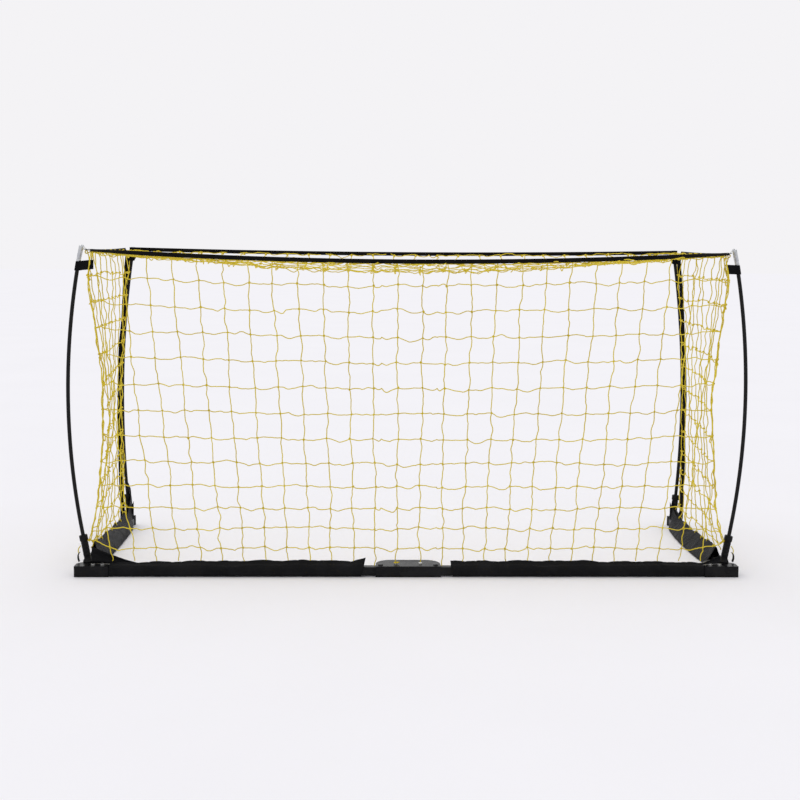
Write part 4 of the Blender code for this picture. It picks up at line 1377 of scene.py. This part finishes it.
def make_post_wraps():
    """A hook-and-loop strap: round the rear post, then pressed together into a tongue to the net's corner."""
    near, near_lean = min(post_points("rear"), key=lambda point: abs(point[0].z - WRAP_Z))
    for side_name, side in SIDES.items():
        centre = Vector((side * near.x, CORNER_Y, WRAP_Z))
        lean = side * near_lean
        toward = Vector((-side * math.cos(WRAP_TURN), -math.sin(WRAP_TURN), 0.0))
        square = Vector((-toward.y, toward.x, 0))
        tongue = WRAP_TONGUE[side_name]
        tilt = 0.08 if side < 0 else 0.03
        wrap = POST_RADIUS + 0.0014

        def on_tongue(reach, out, height=0.0):
            return centre + toward * reach + square * out + Vector((0, 0, tilt * reach + height))

        run = [on_tongue(tongue * share, 0.0012) for share in (1.0, 0.8, 0.6, 0.45, 0.32)]
        for i in range(15):
            angle = math.radians(35) + math.radians(290) * i / 14
            run.append(centre + toward * (wrap * math.cos(angle)) + square * (wrap * math.sin(angle)))
        run += [on_tongue(tongue * share, -0.0012) for share in (0.32, 0.45, 0.6, 0.8, 0.97)]
        strap(f"post_tie_{side_name}", run, (math.sin(lean), 0, math.cos(lean)), f"rear_post_{side_name}",
              f"post_wrap_{side_name}", width=0.028, thickness=0.0019, finish=HOOK)
        rows = [[on_tongue(0.018, -0.0023, height), on_tongue(tongue - 0.003, -0.0023, height)]
                for height in (-0.0115, 0.0115)]
        stitch(f"post_tie_stitches_{side_name}", rows, f"rear_post_{side_name}", 0.0036)


# Corners

def socket_profile(base):
    """The socket's outline as (height, radius, share of the lean): foot, ribbed barrel, collar and bore."""
    barrel = 0.0105
    profile = [(base, 0.0155, 0), (base + 0.0006, 0.016, 0)]
    profile += [(base + 0.0036, 0.016, 0), (base + 0.0046, 0.0152, 0)]
    for share in (i / 6 for i in range(1, 7)):
        profile.append((base + 0.0046 + 0.0094 * share, barrel + 0.0047 * (1 - share) ** 2, share))
    for low in (base + 0.022 + 0.011 * rib for rib in range(4)):
        profile += [(low, barrel, 1), (low + 0.0006, 0.0109, 1)]
        profile += [(low + 0.0020, 0.0109, 1), (low + 0.0026, barrel, 1)]
    collar = SOCKET_TOP_Z - 0.018
    profile += [(collar, barrel, 1), (collar + 0.0015, 0.0121, 1), (collar + 0.0024, 0.0125, 1)]
    profile += [(SOCKET_TOP_Z - 0.0010, 0.0125, 1), (SOCKET_TOP_Z, 0.0115, 1), (SOCKET_TOP_Z, 0.0067, 1)]
    return profile + [(SOCKET_TOP_Z - 0.0015, 0.0062, 1), (POST_FOOT_Z, 0.0062, 1)]


def make_sockets():
    """Moulded post sockets with a spread foot, ribs down the barrel and a rounded collar."""
    for row, y in (("rear", CORNER_Y), ("front", FRONT_POST_Y)):
        base = BRACKET_HEIGHT + 0.0003 if row == "rear" else TUBE_Z + 0.0133
        for side_name, side in SIDES.items():
            rings = []
            for height, radius, share in socket_profile(base):
                centre = Vector((post_axis_x(row, height) if share else CORNER_X, y, height))
                rings.append(ring_at(centre, radius, POST_LEAN[row] * share, side, 32))
            body = HIP[side_name] if row == "rear" else f"side_{side_name}"
            dress(loft(f"{row}_moulded_socket_{side_name}", rings, PLASTIC), body,
                  f"{row}_socket_{side_name}")


def make_panel(name, lines, back_way, body):
    """A panel of nylon through lines of points, with its back skin a thickness away."""
    back = Vector(back_way) * PANEL_THICKNESS
    rings = [line + [p + back for p in reversed(line)] for line in lines]
    panel = dress(loft(name, rings, NYLON), body)


def make_corner_tie(side_name):
    """Behind a rear socket, a short webbing stub and its cord to the socket."""
    side = SIDES[side_name]
    foot = Vector((side * 0.9925, 0.034, BRACKET_HEIGHT + 0.0012))
    run = steps_from(foot, side, ((0, 0, 0), (0.0030, 0, 0.010), (0.0035, 0.001, 0.018),
                                  (0.0015, 0.002, 0.025), (-0.0015, 0.002, 0.027)))
    strap(f"corner_tie_webbing_{side_name}", run, (0, 1, 0), HIP[side_name],
          width=0.014, thickness=0.0022)
    top = foot + Vector((side * 0.001, 0.006, 0.0255))
    cord = steps_from(top, side, ((0, -0.004, -0.003), (0.0025, -0.002, 0.006), (0.0010, 0, 0.014),
                                  (-0.004, 0.003, 0.021)))
    lace(f"corner_tie_cord_{side_name}", [cord], HIP[side_name])


def make_sleeve_flap(side_name):
    """The rear sleeve's outer end, raised behind the socket and running down to the bar."""
    low = 0.0345
    side = SIDES[side_name]
    tall, long = (0.050, 0.165) if side < 0 else (0.024, 0.075)
    lines = []
    for share in (i / 16 for i in range(17)):
        x = 0.951 - long * share
        top = low + 0.001 + tall * (1 - share) ** 1.4 + 0.0015 * noise.noise(Vector((x * 60, side, 1.0)))
        lines.append([Vector((side * x, 0.016 * (1 - share) + 0.004 * math.sin(math.pi * k / 6) - 0.0005,
                              low + (top - low) * k / 6)) for k in range(7)])
    make_panel(f"rear_sleeve_flap_{side_name}", lines, (0, 1, 0), HIP[side_name])


def make_gusset(side_name):
    """The side sleeve's far end, carried up along the inside of the front post's foot."""
    low = 0.030
    side = SIDES[side_name]
    lines = []
    for share in (i / 24 for i in range(25)):
        y = 0.500 + share * 0.148
        top = 0.050 + (0.135 if side < 0 else 0.070) * max(0.0, share - 0.1) ** 2.2
        tuck = 0.12 * max(0.0, share - 0.9)
        line = []
        for k in range(13):
            z = low + (top - low) * k / 12
            x = CORNER_X + 0.08 * max(0.0, z - 0.045) * share
            ruck = 0.0016 * noise.noise(Vector((y * 30, z * 40, 5.0 + side)))
            x += tuck + ruck - 0.0185 * share ** 0.7 * (1 - 0.25 * k / 12)
            line.append(Vector((side * x, y, z)))
        lines.append(line)
    make_panel(f"front_corner_gusset_{side_name}", lines, (side, 0, 0), f"side_{side_name}")


def make_boot(side_name):
    """The cloth that closes the side sleeve's end across the front post's foot."""
    low = 0.0305
    side = SIDES[side_name]
    lines = []
    for share in (i / 16 for i in range(17)):
        x = 0.9470 + 0.0470 * share
        top = 0.050 + 0.045 * abs(2 * share - 1) ** 1.6 + 0.0015 * math.sin(9 * share)
        y = 0.6195 - 0.004 * math.sin(math.pi * share)
        line = []
        for k in range(9):
            ruck = 0.0012 * math.sin(3.1 * k + 8 * share)
            line.append(Vector((side * x, y + ruck, low + (top - low) * k / 8)))
        lines.append(line)
    make_panel(f"front_corner_boot_{side_name}", lines, (0, 1, 0), f"side_{side_name}")


def finish_model_pieces():
    """Gives each rigid node that keeps the model's shape its finish."""
    finishes = {
        "grey_paint": PAINT,
        "black_paint": PAINT,
        "zinc_steel": ZINC,
        "dark_steel": BLACKENED,
        "black_plastic": PLASTIC,
    }
    for part in frame["record"]["subparts"]:
        shown = frame["nodes"][part["node"]]
        if shown.hide_render or part["material_slot"] not in finishes:
            continue
        for place in shown.material_slots:
            place.link = "OBJECT"
            place.material = finishes[part["material_slot"]]


# Studio

def make_camera():
    yaw = math.radians(1.289)
    pitch = math.radians(4.5)
    roll = math.radians(0.367)
    forward = Vector((math.sin(yaw) * math.cos(pitch), math.cos(yaw) * math.cos(pitch), -math.sin(pitch)))
    level = Vector((math.cos(yaw), -math.sin(yaw), 0))
    upright = level.cross(forward)
    right = math.cos(roll) * level + math.sin(roll) * upright
    up = math.cos(roll) * upright - math.sin(roll) * level
    data = bpy.data.cameras.new("camera")
    data.lens = 52.985
    data.sensor_width = 36.0
    data.shift_y = -0.0675
    camera = show("camera", data)
    turned = Matrix((right, up, -forward)).transposed().to_4x4()
    camera.matrix_world = Matrix.Translation((-0.107, -3.480, 0.968)) @ turned
    bpy.context.scene.camera = camera


def make_floor():
    """A plain pale floor with faint cloudy patches, wide enough to pass out of sight."""
    material, tree, maps = new_finish("studio_floor", 0.9, gloss=0.0)
    shader = tree.nodes["Principled BSDF"].inputs
    faint = clouds(tree, maps["Object"], 1.5)
    wire(tree, mix_colour(tree, faint, FLOOR_LOW, FLOOR_HIGH), shader["Base Color"])
    mesh = bpy.data.meshes.new("floor")
    size = 60.0
    corners = [(-size, -size, 0), (size, -size, 0), (size, size, 0), (-size, size, 0)]
    mesh.from_pydata(corners, [], [(0, 1, 2, 3)])
    mesh.materials.append(material)
    floor = show("floor", mesh)
    floor.location.z = -0.0004


def make_lights():
    """An even soft sky, a pale backdrop for the camera alone, and one soft sun from above."""
    world = bpy.data.worlds.new("studio")
    bpy.context.scene.world = world
    world.use_nodes = True
    tree = world.node_tree
    tree.nodes.clear()
    seen = add(tree, "ShaderNodeLightPath")
    gloss = calc(tree, "MAXIMUM", seen["Is Glossy Ray"], seen["Is Transmission Ray"])
    soft = add(tree, "ShaderNodeBackground", {"Color": (0.97, 0.97, 1.0, 1), "Strength": SKY})
    pale = add(tree, "ShaderNodeBackground", {"Color": BACKDROP, "Strength": 1.0})
    shine = add(tree, "ShaderNodeBackground", {"Color": (1, 1, 1, 1), "Strength": 1.0})
    lit = add(tree, "ShaderNodeMixShader", {0: seen["Is Camera Ray"], 1: soft[0], 2: pale[0]})
    both = add(tree, "ShaderNodeMixShader", {0: gloss, 1: lit[0], 2: shine[0]})
    add(tree, "ShaderNodeOutputWorld", {"Surface": both[0]})

    data = bpy.data.lights.new("soft_sun", "SUN")
    data.energy = SUN
    data.angle = math.radians(50)
    show("soft_sun", data).rotation_euler = (math.radians(-14), math.radians(-10), 0)
    bpy.context.scene.view_settings.view_transform = "Standard"


make_camera()
make_rear_net()
make_roof_net()
make_side_nets()
make_corner_nets()
make_top_straps()
make_rear_strap_lacing()
for side_name in SIDES:
    make_side_strap(side_name)
    make_mouth_webbing(side_name)
    make_side_ties(side_name)
for side_name in SIDES:
    make_rear_sleeve(side_name)
    make_side_sleeve(side_name)
make_posts()
make_tip_hooks()
make_post_wraps()
make_sockets()
for side_name in SIDES:
    make_corner_tie(side_name)
    make_sleeve_flap(side_name)
for side_name in SIDES:
    make_gusset(side_name)
    make_boot(side_name)
finish_model_pieces()
make_floor()
make_lights()
